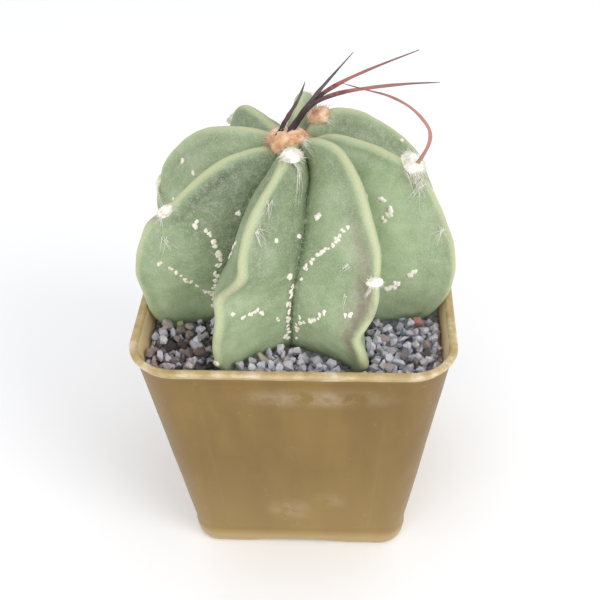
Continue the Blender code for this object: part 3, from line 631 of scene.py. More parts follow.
def skin_spot(rib, side, station, share):
    """The point and normal of the finished skin on one flank of a rib, and the way along the crest there."""
    number = RIB_NAMES.index(rib)
    at = np.array([station, station + 0.05])
    crests, furrows = stem_curves(at)
    crest, left, right = crests[number], furrows[number - 1], furrows[number]
    across, inward = rib_frame(crest, left, right)
    shares = np.array([share, min(share + 0.02, 1)])
    points, normals, from_crest = rib_section(
        crest, right if side > 0 else left, side, across, inward, np.full((2, 1), CREST_RADIUS), shares,
        flank_swell(at))
    points = points + normals * skin_relief(points, at, from_crest / MM, shares)[..., None]
    down, out = points[1, 0] - points[0, 0], points[0, 1] - points[0, 0]
    normal = unit(np.cross(out, down)) * side
    normal = normal if (normal * normals[0, 0]).sum() > 0 else -normal
    return points[0, 0], normal, unit(down)


def fleck_dome(middle, normal, along, size, pick):
    """A low dome whose outline is a circle plus two random waves: three rings of points and one on top."""
    radii, heights = np.array([0.5, 0.85, 1.0]), np.array([0.85, 0.4, -0.3])
    across = np.cross(normal, along)
    angle = np.arange(FLECK_SIDES) * 2 * math.pi / FLECK_SIDES
    ragged = 1 + 0.18 * np.sin(2 * angle + pick.uniform(0, 6)) + 0.14 * np.sin(3 * angle + pick.uniform(0, 6))
    ring = radii[:, None] * ragged[None] * size
    dome = middle + (ring * np.cos(angle))[..., None] * along + (ring * np.sin(angle))[..., None] * across
    dome += (heights * FLECK_RISE * size + FLECK_LIFT)[:, None, None] * normal
    return np.vstack([dome.reshape(-1, 3), middle + normal * (FLECK_RISE * size + FLECK_LIFT)])


def make_flecks(finish):
    """Ragged felt flecks in chains: each is two to four crumbs of felt on the skin."""
    pick = np.random.default_rng(7)
    points, faces = [], []
    for rib, side, start, end, bow, count, width in FLECK_CHAINS:
        for number in range(count):
            t = (number + 0.42 * pick.uniform(-1, 1)) / (count - 1) if count > 1 else 0
            last = end or start
            station = start[0] + (last[0] - start[0]) * t + pick.normal() * 0.02
            share = start[1] + (last[1] - start[1]) * t + bow * 4 * t * (1 - t) + pick.normal() * 0.01
            spot, normal, along = skin_spot(rib, side, station, min(share, 0.985))
            size = width / 2 * MM * pick.uniform(0.9, 1.35)
            across = np.cross(normal, along)
            for _ in range(pick.integers(2, 5)):
                shift = pick.normal(size=2) * 0.42 * size
                middle = spot + shift[0] * along + shift[1] * across
                first = sum(len(group) for group in points)
                points.append(fleck_dome(middle, normal, along, size * pick.uniform(0.6, 0.95), pick))
                faces.append(grid_faces(3, FLECK_SIDES)[:, ::-1] + first)
                faces.append(fan_faces(np.arange(FLECK_SIDES), 3 * FLECK_SIDES) + first)
    make_piece("felt_flecks", np.vstack(points), faces, finish, "wool", [])


# ---------------------------------------------------------------- the pot

def wall_half(height):
    """Half the pot's outer width on the plain taper."""
    top = POT_WIDTH / 2 - FLARE
    return POT_FOOT_WIDTH / 2 + (top - POT_FOOT_WIDTH / 2) * height / POT_HEIGHT


def wall_corner(height):
    """The pot's outer corner radius on the plain taper."""
    return FOOT_CORNER + (RIM_CORNER - FOOT_CORNER) * height / POT_HEIGHT


def square_loop(half, corner, share, bend):
    """Points round a square of rounded corners. Share runs from -1 to 1 along the straight of each side, and
    bend is 0 there and the angle round the corner after it; half and corner are columns of numbers."""
    straight = half - corner
    x = straight + corner * np.cos(bend)
    y = np.where(bend > 0, straight, straight * share) + corner * np.sin(bend)
    quarters = []
    for quarter in range(4):
        c, s = math.cos(quarter * math.pi / 2), math.sin(quarter * math.pi / 2)
        quarters.append(np.stack([x * c - y * s, x * s + y * c], -1))
    return np.concatenate(quarters, axis=1)


def arch_rise(x, y):
    """Height of the shallow arched channel under the middle of each bottom edge: a parabola across its
    width."""
    along = np.maximum(abs(x), abs(y))
    across = np.minimum(abs(x), abs(y))
    rise = ARCH_RISE * np.maximum(1 - (2 * across / ARCH_WIDTH) ** 2, 0)
    return rise * smooth_step(DRAIN_OFFSET, DRAIN_OFFSET + 2 * MM, along)


def make_pot(finish):
    """The moulded shell: a profile of (height, offset from the taper) pairs swept round a rounded square,
    from the middle of its underside, up the outside, over the lip and down the inside to the floor."""
    outer = [
        (0.0, -0.6), (0.25, -0.15), (0.6, 0.15), (1.1, 0.38), (1.7, 0.5), (2.8, 0.52), (4.0, 0.5), (4.8, 0.42),
        (5.5, 0.22), (6.1, 0.06), (6.8, 0.0),
    ]
    outer += [(height, 0.0) for height in (*np.linspace(8.5, 66, 44), *np.linspace(66.6, 71.4, 15))]
    lip = [
        (71.9, 0.0), (72.3, 0.05), (72.7, 0.16), (73.05, 0.32), (73.35, 0.52), (73.6, 0.72), (73.85, 0.88),
        (74.1, 0.96), (74.35, 1.0), (74.6, 0.97), (74.8, 0.86), (74.93, 0.7), (75.0, 0.5), (75.0, 0.1),
        (75.0, -0.3), (74.97, -0.6), (74.88, -0.82), (74.7, -1.02), (74.45, -1.17), (74.1, -1.26), (73.6, -1.3),
    ]
    inner = [(height, -1.3) for height in (72.5, 71, 69, 66, 60, 45, 30, 15, 4, 2.8)]
    inner += [(2.2, -1.45), (1.8, -1.8), (1.6, -2.3)]
    profile = np.array(outer + lip + inner) * MM
    height, offset = profile[:, :1], profile[:, 1:]
    # Close together at the panel's edges, wide apart between them: from, to and number of steps.
    runs = ((-1, -0.9, 4), (-0.9, -0.72, 12), (-0.72, 0.72, 20), (0.72, 0.9, 12), (0.9, 1, 4))
    share = np.concatenate([np.linspace(low, high, steps + 1)[:-1] for low, high, steps in runs] + [[1.0]])
    corner_turn = np.linspace(0, math.pi / 2, 13)[1:-1]
    share = np.concatenate([share, np.ones(len(corner_turn))])[None, :]
    bend = np.concatenate([np.zeros(share.shape[1] - len(corner_turn)), corner_turn])[None, :]
    half = wall_half(height) + offset
    corner = np.maximum(wall_corner(height) + offset, 2 * MM)
    straight = half - corner
    around = square_loop(half, corner, share, bend)
    # A panel stands proud of each side, with rounded top corners.
    side_share = np.tile(np.where(bend > 0, 1.4, share), (1, 4))
    edge_x = (PANEL_SHARE - abs(side_share)) * straight
    edge_z = PANEL_TOP - height
    corner_gap = np.hypot(np.maximum(PANEL_CORNER - edge_x, 0), np.maximum(PANEL_CORNER - edge_z, 0))
    inside = np.minimum(np.minimum(edge_x, edge_z), PANEL_CORNER - corner_gap)
    on_side = (np.arange(len(profile)) < len(outer))[:, None]
    panel = smooth_step(-0.35 * MM, 0.35 * MM, inside) * on_side * smooth_step(6.8 * MM, 9.0 * MM, height)
    raised = PANEL_RISE * panel
    outward = unit(around - np.clip(around, -straight[..., None], straight[..., None]))
    heights = np.broadcast_to(height, around.shape[:2])
    flat = np.concatenate([around, heights[..., None]], -1)
    # The moulding's soft unevenness, 34 mm and 9 mm long.
    soft = 0.1 * MM * ripple(flat, 34 * MM, 21) + 0.035 * MM * ripple(flat, 9 * MM, 22)
    around = around + outward * (raised + soft * (offset < 0.6 * MM) * (height < POT_HEIGHT))[..., None]
    lift = arch_rise(around[..., 0], around[..., 1]) * (1 - smooth_step(1.0 * MM, 6.0 * MM, height)) * on_side
    points = np.concatenate([around, (heights + lift)[..., None]], -1)
    columns = points.shape[1]
    # The underside and the floor: the first and last loops shrunk towards the middle.
    shrink = np.array([0.93, 0.8, 0.66, 0.54, 0.44, 0.3, 0.15])[:, None, None]
    under = points[0][None, :, :2] * shrink
    under = np.concatenate([under, arch_rise(under[..., 0], under[..., 1])[..., None]], -1)
    floor = points[-1][None, :, :2] * shrink
    floor = np.concatenate([floor, np.full((*floor.shape[:2], 1), FLOOR)], -1)
    every = np.concatenate([under[::-1], points, floor])
    total = len(every)
    vertices = np.vstack([every.reshape(-1, 3), (0, 0, 0), (0, 0, FLOOR)])
    ring = np.arange(columns)
    faces = [
        grid_faces(total, columns), fan_faces(ring, total * columns, True),
        fan_faces(ring + (total - 1) * columns, total * columns + 1),
    ]
    # Where the lip's, the inside's and the foot's colours lie: rings of points, and none at the two centres.
    # The inside's colour is painted light, and the lip's partly painted highlight.
    row = np.arange(total)[:, None]
    first_lip = len(shrink) + len(outer)
    after_lip = first_lip + len(lip)
    on_outside = (row >= len(shrink)) & (row < first_lip)
    bands = {
        "lip": (row >= first_lip + 2) & (row < after_lip - 2), "inside": row >= after_lip - 3,
        "foot": 0.55 * (1 - smooth_step(3.0 * MM, 7.0 * MM, every[:, :, 2])) * on_outside,
    }
    bands = {key: np.append(np.broadcast_to(band, (total, columns)), (0, 0)) for key, band in bands.items()}
    cut_drains(make_piece("moulded_pot", vertices, faces, finish, "pot_plastic", ["pot"], **bands))


def cut_drains(shell):
    """Four round drain holes through the floor, taken out with cylinders and applied to the mesh."""
    sides = 32
    angle = np.arange(sides) * 2 * math.pi / sides
    cutter_mesh = bpy.data.meshes.new("drain_tools")
    points, faces = [], []
    for number in range(4):
        turn = number * math.pi / 2
        x = DRAIN_OFFSET * math.cos(turn) + DRAIN_RADIUS * np.cos(angle)
        y = DRAIN_OFFSET * math.sin(turn) + DRAIN_RADIUS * np.sin(angle)
        first = number * 2 * sides
        for height in (-3 * MM, FLOOR + 2 * MM):
            points.append(np.stack([x, y, np.full(sides, height)], -1))
        faces += (grid_faces(2, sides) + first).tolist()
        faces.append([first + n for n in reversed(range(sides))])
        faces.append([first + sides + n for n in range(sides)])
    cutter_mesh.from_pydata(np.vstack(points).tolist(), [], faces)
    cutter = bpy.data.objects.new("drain_tools", cutter_mesh)
    bpy.context.scene.collection.objects.link(cutter)
    cut = shell.modifiers.new("drains", "BOOLEAN")
    cut.operation = "DIFFERENCE"
    cut.solver = "EXACT"
    cut.object = cutter
    bpy.context.view_layer.update()
    view = bpy.context.evaluated_depsgraph_get()
    applied = bpy.data.meshes.new_from_object(shell.evaluated_get(view))
    shell.modifiers.remove(cut)
    shell.data = applied
    bpy.data.objects.remove(cutter)


# Rubbed, whitish patches on the wall: centre and reach along each axis (m), and how white.
RUBBED_PATCHES = (
    ((6 * MM, -37 * MM, 66 * MM), (26 * MM, 9 * MM, 5 * MM), 0.34),
    ((-2 * MM, -32 * MM, 17 * MM), (8 * MM, 9 * MM, 7 * MM), 0.3),
    ((9 * MM, -32 * MM, 22 * MM), (6 * MM, 9 * MM, 6 * MM), 0.16),
    ((37 * MM, 4 * MM, 62 * MM), (9 * MM, 20 * MM, 6 * MM), 0.25),
    ((-34 * MM, 6 * MM, 30 * MM), (9 * MM, 14 * MM, 9 * MM), 0.22),
    ((5 * MM, 35 * MM, 50 * MM), (18 * MM, 9 * MM, 8 * MM), 0.22),
)


def pot_finish():
    """Injection-moulded mustard polypropylene: a satin, slightly milky wall with cloudy colour and rubbed
    marks, a painted glow on the inner wall, and a lip made pale partly by painted highlight."""
    made, tree, where = start_finish(
        "moulded_mustard_polypropylene", Roughness=0.42, IOR=1.49, Subsurface_Weight=0.12,
        Subsurface_Scale=2 * MM)
    foot, inside, lip = (
        add(tree, "Attribute", attribute_name=name).outputs["Fac"] for name in ("foot", "inside", "lip"))
    # The melt flowed upwards, so its cloudy streaks are about 15 mm wide and three times as tall.
    flow = add(tree, "Mapping", {"Vector": where, "Scale": (1.0, 1.0, 0.3)}).outputs["Vector"]
    clouds = add(tree, "TexNoise", {
        "Vector": flow, "Scale": 65.0, "Detail": 4.0, "Roughness": 0.55}).outputs["Fac"]
    body = add(tree, "ValToRGB", {"Fac": clouds}, stops=((0.3, "#70551d"), (0.5, "#795d23"), (0.7, "#83672b")))
    # The wall is dustier and paler towards the foot.
    height = add(tree, "SeparateXYZ", {"Vector": where}).outputs["Z"]
    dust = add(tree, "MapRange", {
        "Value": height, "From Min": 0.0, "From Max": 45 * MM, "To Min": 0.34, "To Max": 0.0},
        interpolation_type="SMOOTHSTEP").outputs["Result"]
    # Wear, in patches 6 mm across, and pale scuffs a few millimetres long.
    wear = add(tree, "TexNoise", {
        "Vector": where, "Scale": 160.0, "Detail": 6.0, "Roughness": 0.65}).outputs["Fac"]
    # The lip's pale colours are partly painted highlight, where its top catches the light, and partly wear
    # mottled in patches.
    lip_wear_and_highlight = add(tree, "ValToRGB", {"Fac": wear}, stops=(
        (0.36, "#ab9260"), (0.5, "#bda678"), (0.64, "#d9cbb0"))).outputs["Color"]
    scuffs = add(tree, "TexNoise", {
        "Vector": where, "Scale": 140.0, "Detail": 7.0, "Roughness": 0.7, "Distortion": 2.2}).outputs["Fac"]
    scuffed = add(tree, "MapRange", {
        "Value": scuffs, "From Min": 0.62, "From Max": 0.76, "To Max": 0.3}).outputs["Result"]
    # Each layer lies over the last: how much of it shows, and its colour.
    # The inside's pale colour is painted light: the shaded inner wall is drawn as if it glowed through the
    # plastic.
    layers = [(dust, "#ad9259"), (foot, "#bfa97c"), (inside, "#ecd6a6"), (lip, lip_wear_and_highlight), (scuffed, "#cbbb95")]
    speckled = add(tree, "MapRange", {"Value": wear, "From Min": 0.36, "From Max": 0.7}).outputs["Result"]
    for centre, reach, amount in RUBBED_PATCHES:
        from_centre = add(tree, "VectorMath", {0: where, 1: centre}, operation="SUBTRACT").outputs["Vector"]
        scaled = add(tree, "VectorMath", {0: from_centre, 1: reach}, operation="DIVIDE").outputs["Vector"]
        away = add(tree, "VectorMath", {0: scaled}, operation="LENGTH").outputs["Value"]
        near = add(tree, "MapRange", {"Value": away, "To Min": amount, "To Max": 0.0},
                   interpolation_type="SMOOTHSTEP").outputs["Result"]
        rubbed = add(tree, "Math", {0: near, 1: speckled}, operation="MULTIPLY").outputs["Value"]
        layers.append((rubbed, "#e6dcc4"))
    colour = body.outputs["Color"]
    for amount, tint in layers:
        mixed = add(tree, "Mix", {"Factor": amount, "A": colour, "B": tint}, data_type="RGBA")
        colour = mixed.outputs["Result"]
    # Mould grain of about 0.8 mm.
    grain = add(tree, "TexNoise", {"Vector": where, "Scale": 1200.0, "Detail": 3.0}).outputs["Fac"]
    end_finish(tree, colour, grain, 0.05, 0.35)
    return made


# ---------------------------------------------------------------- soil and stone

def soil_finish():
    """Damp peat and grit: near-black brown, crumbly, fully matte, in crumbs of 2 mm."""
    made, tree, where = start_finish("crumbly_peat_soil", Roughness=0.95, IOR=1.4)
    crumbs = add(tree, "TexNoise", {
        "Vector": where, "Scale": 500.0, "Detail": 6.0, "Roughness": 0.75}).outputs["Fac"]
    colour = add(tree, "ValToRGB", {"Fac": crumbs}, stops=(
        (0.35, "#1f1a16"), (0.55, "#3b322b"), (0.72, "#6b5c4f")))
    end_finish(tree, colour.outputs["Color"], crumbs, 0.8, 0.9)
    return made


def stone_finish():
    """Crushed basalt and granite chippings: matte, each with its own tint, finely speckled on broken faces."""
    made, tree, where = start_finish("crushed_stone_chippings", Roughness=0.88, IOR=1.5)
    tint = add(tree, "Attribute", attribute_name="tint").outputs["Color"]
    # Mineral speckle and broken grain of about 0.9 mm.
    speckle = add(tree, "TexNoise", {
        "Vector": where, "Scale": 1100.0, "Detail": 5.0, "Roughness": 0.8}).outputs["Fac"]
    light = add(tree, "ValToRGB", {"Fac": speckle}, stops=((0.3, 0.85), (0.5, 0.97), (0.7, 1.0)))
    colour = add(tree, "Mix", {
        "Factor": 1.0, "A": tint, "B": light.outputs["Color"]}, data_type="RGBA", blend_type="MULTIPLY")
    end_finish(tree, colour.outputs["Result"], speckle, 0.6, 1.0)
    return made


def rock_shapes(count, pick):
    """Broken-stone shapes of about unit radius: convex hulls of a dozen points scattered on a squashed ball."""
    shapes = []
    for _ in range(count):
        spots = unit(pick.normal(size=(13, 3))) * pick.uniform(0.8, 1.1, (13, 1))
        spots *= (1.0, pick.uniform(0.72, 0.95), pick.uniform(0.55, 0.8))
        hull = bmesh.new()
        for spot in spots:
            hull.verts.new(spot)
        result = bmesh.ops.convex_hull(hull, input=hull.verts)
        loose = [item for item in result["geom_interior"] if isinstance(item, bmesh.types.BMVert)]
        bmesh.ops.delete(hull, geom=loose, context="VERTS")
        bmesh.ops.recalc_face_normals(hull, faces=hull.faces)
        hull.verts.index_update()
        vertices = np.array([vertex.co[:] for vertex in hull.verts])
        faces = np.array([[vertex.index for vertex in face.verts] for face in hull.faces])
        hull.free()
        shapes.append((vertices, faces))
    return shapes


def random_turns(count, pick):
    """Rotation matrices from random unit quaternions."""
    w, x, y, z = unit(pick.normal(size=(count, 4))).T
    return np.stack([
        1 - 2 * (y * y + z * z), 2 * (x * y - z * w), 2 * (x * z + y * w),
        2 * (x * y + z * w), 1 - 2 * (x * x + z * z), 2 * (y * z - x * w),
        2 * (x * z - y * w), 2 * (y * z + x * w), 1 - 2 * (x * x + y * y)], -1).reshape(-1, 3, 3)


def stem_footprint():
    """Plan map of the pot's inside: each cell's distance from the stem near the gravel's level, up to 6 mm, and
    negative inside the stem, which the even-odd rule finds."""
    spots = np.arange(-39 * MM, 39 * MM + CELL / 2, CELL)
    x, y = np.meshgrid(spots, spots, indexing="ij")
    gap = np.full(x.shape, 6 * MM)
    inside = np.zeros(x.shape, bool)
    for station in (7.2, 7.6, 8.0, 8.4):
        outline = skin_grid(np.array([station]), 5)[0][0][:, :2]
        ends = np.roll(outline, -1, axis=0)
        winding = np.zeros(x.shape, bool)
        for (ax, ay), (bx, by) in zip(outline, ends):
            ex, ey = bx - ax, by - ay
            t = np.clip(((x - ax) * ex + (y - ay) * ey) / (ex * ex + ey * ey + 1e-12), 0, 1)
            gap = np.minimum(gap, np.hypot(x - ax - t * ex, y - ay - t * ey))
            crosses = (ay > y) != (by > y)
            winding ^= crosses & (x < ex * (y - ay) / (ey if abs(ey) > 1e-9 else 1e-9) + ax)
        inside |= winding
    return spots, np.where(inside, -gap, gap)


def stone_tints(xy, pick):
    """Linear colour of each stone: grey-lilac chippings, darker and browner towards the left of the pot."""
    greys = np.array([linear(c)[:3] for c in (
        "#dcd9e3", "#d3d0db", "#cbc8d2", "#c4c0c8", "#d4d7e3", "#e2e0e9", "#bfbac4", "#d2ccd3")])
    darks = np.array([linear(c)[:3] for c in (
        "#7a716f", "#8f8480", "#57504f", "#b09fa0", "#9a8a87", "#bbadac", "#4a4443")])
    dark_share = 0.07 + 0.45 * smooth_step(-12 * MM, -24 * MM, xy[:, 0]) * smooth_step(0, -14 * MM, xy[:, 1])
    choose_dark = pick.uniform(size=len(xy)) < dark_share
    base = np.where(choose_dark[:, None], darks[pick.integers(0, len(darks), len(xy))],
                    greys[pick.integers(0, len(greys), len(xy))])
    return base * pick.uniform(1.0, 1.2, (len(xy), 1))


def drop_stones(pick):
    """Stones dropped one by one on a height map: each rests on what is under it, clear of the stem and the
    wall, and raises the map by the top half of a flattened ball."""
    spots, gap = stem_footprint()
    ground = np.full(gap.shape, SOIL_TOP - 0.3 * MM)
    places = []
    limit = wall_half(BED_TOP) - WALL
    corner = wall_corner(BED_TOP) - WALL
    for trial in range(STONE_TRIALS):
        smallest, largest, highest = SMALL_STONES if trial < STONE_TRIALS / 2 else LARGE_STONES
        radius = pick.uniform(smallest, largest) * MM
        x, y = pick.uniform(-limit, limit, 2)
        flat, clear = 0.72 * radius, 0.95 * radius
        over = math.hypot(max(abs(x) - (limit - corner), 0), max(abs(y) - (limit - corner), 0))
        if max(abs(x), abs(y)) > limit - clear or over > corner - clear:
            continue
        i, j = int(round((x - spots[0]) / CELL)), int(round((y - spots[0]) / CELL))
        if gap[i, j] < 0.5 * radius:
            continue
        n = int(radius / CELL) + 1
        rows, columns = slice(max(i - n, 0), i + n + 1), slice(max(j - n, 0), j + n + 1)
        patch = ground[rows, columns]
        away = np.hypot(*np.meshgrid(spots[rows] - x, spots[columns] - y, indexing="ij")) / radius
        cap = np.sqrt(np.maximum(1 - away**2, 0)) * flat
        # It settles on the highest thing under its middle, sunk in by less than half its radius.
        base = (patch + cap)[away < 0.6].max() - 0.45 * radius
        if base + flat > highest * MM:
            continue
        patch[:] = np.where(away < 0.8, np.maximum(patch, base + cap), patch)
        places.append((x, y, base, radius))
    return np.array(places)


def make_stones(name, places, tints, shapes, finish, stands_for, pick):
    """Rock shapes turned, scaled and moved to their places, joined in one mesh."""
    turns = random_turns(len(places), pick)
    kinds = pick.integers(0, len(shapes), len(places))
    points, faces, colours = [], [], []
    first = 0
    for (x, y, z, radius), turn, kind, tint in zip(places, turns, kinds, tints):
        vertices, triangles = shapes[kind]
        points.append(vertices @ turn.T * radius + (x, y, z))
        faces.append(triangles + first)
        colours.append(np.tile((*tint, 1.0), (len(vertices), 1)))
        first += len(vertices)
    make_piece(name, np.vstack(points), faces, finish, "gravel", stands_for, smooth=False,
               tint=np.vstack(colours))


# Odd stones among the grey ones: place in plan (mm) and colour.
ODD_STONES = (
    (-32.9, -31.6, "#b59a90"), (12.8, -32.8, "#2b2928"), (35.4, -26.1, "#a9bccd"), (27.3, -19.5, "#a3b6c6"),
    (29.1, -25.1, "#b4c0cc"), (26.5, -14.4, "#a6c0d6"), (31.8, -14.3, "#c98a84"), (-28.7, -16.3, "#b7bd84"),
    (-35.4, -23.8, "#c7a593"), (14.5, -32.4, "#8fa08f"), (-15.4, -23, "#a27c74"), (-20.1, -30.6, "#332f2d"),
    (-28.2, -33.3, "#3d3835"), (-24.7, -32.1, "#d8d2cb"), (-23.9, -27.7, "#8d7468"), (23.1, -30.4, "#e8e6e6"),
    (-7.4, -29.9, "#b9ab9b"), (-31, 20, "#c99b8a"), (24, 30, "#a9bccd"), (-20, 33, "#b59a90"),
)


def make_fines(finish):
    """Stone dust and grit that fill the gaps between the chippings: a square sheet, pulled in to the pot's
    rounded corners, whose height is soft noise, closed underneath."""
    steps = 120
    half = wall_half(FINES_LEVEL) - WALL - 0.15 * MM
    corner = wall_corner(FINES_LEVEL) - WALL
    straight = half - corner
    line = np.linspace(-half, half, steps)
    flat = np.stack([*np.meshgrid(line, line, indexing="ij"), np.zeros((steps, steps))], -1)
    over = abs(flat[..., :2]) - straight
    far = np.hypot(*np.moveaxis(np.maximum(over, 0), -1, 0))[..., None]
    pull = corner / np.maximum(far, 1e-9)
    plan = flat[..., :2]
    flat[..., :2] = np.where((far > corner) & (over > 0), np.sign(plan) * (straight + over * pull), plan)
    height = FINES_LEVEL + (0.3 + 0.5 * ripple(flat, 4.5 * MM, 51) + 0.4 * ripple(flat, 1.9 * MM, 52)) * MM
    top, bottom = (
        np.concatenate([flat[..., :2], level[..., None]], -1).reshape(-1, 3)
        for level in (height, np.full_like(height, SOIL_TOP + 0.1 * MM)))
    sheet = grid_faces(steps, steps, closed_columns=False)
    index = np.arange(steps * steps).reshape(steps, steps)
    edge = np.concatenate([index[:-1, 0], index[-1, :-1], index[:0:-1, -1], index[0, :0:-1]])
    after = np.roll(edge, -1)
    skirt = np.stack([edge, edge + steps * steps, after + steps * steps, after], -1)
    spots = stone_tints(top[:, :2], np.random.default_rng(5))
    tint = np.append(spots * 0.5, np.ones((len(spots), 1)), axis=1)
    faces = [sheet[:, ::-1], sheet + steps * steps, skirt[:, ::-1]]
    make_piece("gravel_fines", np.vstack([top, bottom]), faces, finish, "gravel", [],
               tint=np.vstack([tint, tint]))


def make_gravel(finish):
    """The bed of chippings, and the loose ones on it."""
    pick = np.random.default_rng(41)
    shapes = rock_shapes(12, pick)
    places = drop_stones(pick)
    tints = stone_tints(places[:, :2], pick)
    for x, y, tint in ODD_STONES:
        near = np.hypot(places[:, 0] - x * MM, places[:, 1] - y * MM) - 0.6 * (places[:, 2] - BED_TOP)
        tints[near.argmin()] = linear(tint)[:3]
    make_stones("gravel_chippings", places, tints, shapes, finish, ["gravel_bed"], pick)
    make_fines(finish)
    for name in sorted(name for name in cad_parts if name.startswith("gravel_stone_")):
        low, high = (np.array(corner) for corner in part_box(name))
        spot = np.array([[*(low + high) / 2, (high - low)[:2].max() / 2]])
        make_stones("loose_" + name, spot, stone_tints(spot[:, :2], pick), shapes, finish, [name], pick)


# ---------------------------------------------------------------- wool

def strands(roots, ways, lengths, bends, radius, rings=6):
    """Three-sided tapering fibres: each starts along its way and curves towards its bend as the square of the
    distance along it. Returns points and faces."""
    t = np.linspace(0, 1, rings)[None, :, None]
    steps = (ways[:, None] * t + bends[:, None] * t**2) * lengths[:, None, None]
    return hairs_along(roots[:, None] + steps, radius)


def hairs_along(path, radius):
    """Three-sided tapering fibres along paths of points [fibre, ring, xyz]."""
    count, rings = path.shape[:2]
    t = np.linspace(0, 1, rings)[None, :, None]
    along = unit(np.gradient(path, axis=1))
    side = unit(np.cross(along, np.array([0.31, 0.57, 0.76])))
    other = np.cross(along, side)
    thick = radius * (1 - 0.75 * t)
    corners = []
    for corner in range(3):
        angle = 2 * math.pi * corner / 3
        corners.append(path + (side * math.cos(angle) + other * math.sin(angle)) * thick)
    points = np.stack(corners, axis=2)
    quads = grid_faces(rings, 3)
    base = (np.arange(count) * rings * 3)[:, None, None]
    last = (rings - 1) * 3
    ends = np.array([[2, 1, 0], [last, last + 1, last + 2]])
    return points.reshape(-1, 3), [(base + quads).reshape(-1, 4), (base + ends).reshape(-1, 3)]


def make_tuft(name, node, centre, outward, along, size, fibres, finish, seed):
    """A woolly cushion: a lumpy dome of felt, and fine curling fibres lying on it. Size is its half length
    along the crest, half width across it and half thickness."""
    pick = np.random.default_rng(seed)
    side = unit(np.cross(outward, along))
    along = np.cross(side, outward)
    rows, columns = 14, 36
    down = np.linspace(0.06, 1, rows)[:, None] * math.pi
    round_ = (np.arange(columns) * 2 * math.pi / columns)[None, :]
    ball = np.stack(np.broadcast_arrays(
        np.sin(down) * np.cos(round_), np.sin(down) * np.sin(round_), np.cos(down)), -1)
    lumps = 1 + 0.2 * ripple(ball, 1.4, seed) + 0.06 * ripple(ball, 0.5, seed + 1)
    axes = np.stack([along, side, outward])
    scale = np.array(size) * MM
    dome = (ball * lumps[..., None] * scale) @ axes + centre
    top = (np.array([0, 0, 1.0]) * scale) @ axes + centre
    ring = np.arange(columns)
    dome_points = np.vstack([dome[:-1].reshape(-1, 3), top, dome[-1].mean(0)])
    body = [grid_faces(rows - 1, columns)[:, ::-1], fan_faces(ring, (rows - 1) * columns),
            fan_faces(ring + (rows - 2) * columns, (rows - 1) * columns + 1, True)]
    spots = unit(pick.normal(size=(fibres, 3)))
    spots[:, 2] = abs(spots[:, 2]) * 0.9
    spots = unit(spots)
    roots = (spots * scale * 0.92) @ axes + centre
    ways = unit(spots * (1, 1, 0.5) + pick.normal(size=(fibres, 3)) * (0.7, 0.7, 0.3)) @ axes
    bends = unit(pick.normal(size=(fibres, 3)) * (1, 1, 0.3) - (0, 0, 0.7)) @ axes * 0.8
    lengths = (0.2 + 0.6 * pick.uniform(0, 1, fibres) ** 2) * scale[:2].mean() * 0.7
    hair, hair_faces = strands(roots, ways, lengths, bends, TUFT_FIBRE)
    faces = body + [group + len(dome_points) for group in hair_faces]
    make_piece(name, np.vstack([dome_points, hair]), faces, finish, "wool", [node])


def wool_finish(name, *stops, grain=700.0):
    """Felted plant wool: dense matte fibres that glow a little at their edges, with painted shade in the
    hollows between tufts. Grain is how many tufts there are in a metre."""
    made, tree, where = start_finish(name, Roughness=0.95, IOR=1.45, Sheen_Weight=0.25, Sheen_Roughness=0.6)
    tufts = add(tree, "TexNoise", {
        "Vector": where, "Scale": grain, "Detail": 4.0, "Roughness": 0.7}).outputs["Fac"]
    # Painted shade: the colour darkens in the hollows, where the relief is low.
    colour = add(tree, "ValToRGB", {"Fac": tufts}, stops=stops).outputs["Color"]
    end_finish(tree, colour, tufts, 0.15, 0.7)
    return made


def make_wool(white, tan):
    """A tuft at each areole, across its crest, and the crown's own."""
    for number, (node, rib, station, shift, size) in enumerate(AREOLES):
        crests, furrows = stem_curves(np.array([station - 0.1, station, station + 0.1]))
        index = RIB_NAMES.index(rib)
        crest, left, right = crests[index], furrows[index - 1][1], furrows[index][1]
        along = unit(crest[2] - crest[0])
        outward = crest[1] - (right + left) / 2
        outward = unit(outward - along * np.dot(outward, along))
        across = unit(right - left)
        finish = tan if rib == "rear_right" else white
        centre = crest[1] + (across * shift + outward * 0.3 * size[2]) * MM
        make_tuft(node.replace("areole_wool", "wool_tuft"), node, centre, outward, along, size,
                  int(60 + 55 * sum(size)), finish, 100 + number)
    centre = np.array(CROWN_WOOL_PLACE) * MM + (0, 0, POT_HEIGHT)
    upward, along = unit(np.array([0, -0.25, 1.0])), np.array([1.0, -0.3, 0])
    make_tuft("wool_tuft_crown", "crown_wool", centre, upward, along, CROWN_WOOL_SIZE, 520, tan, 140)


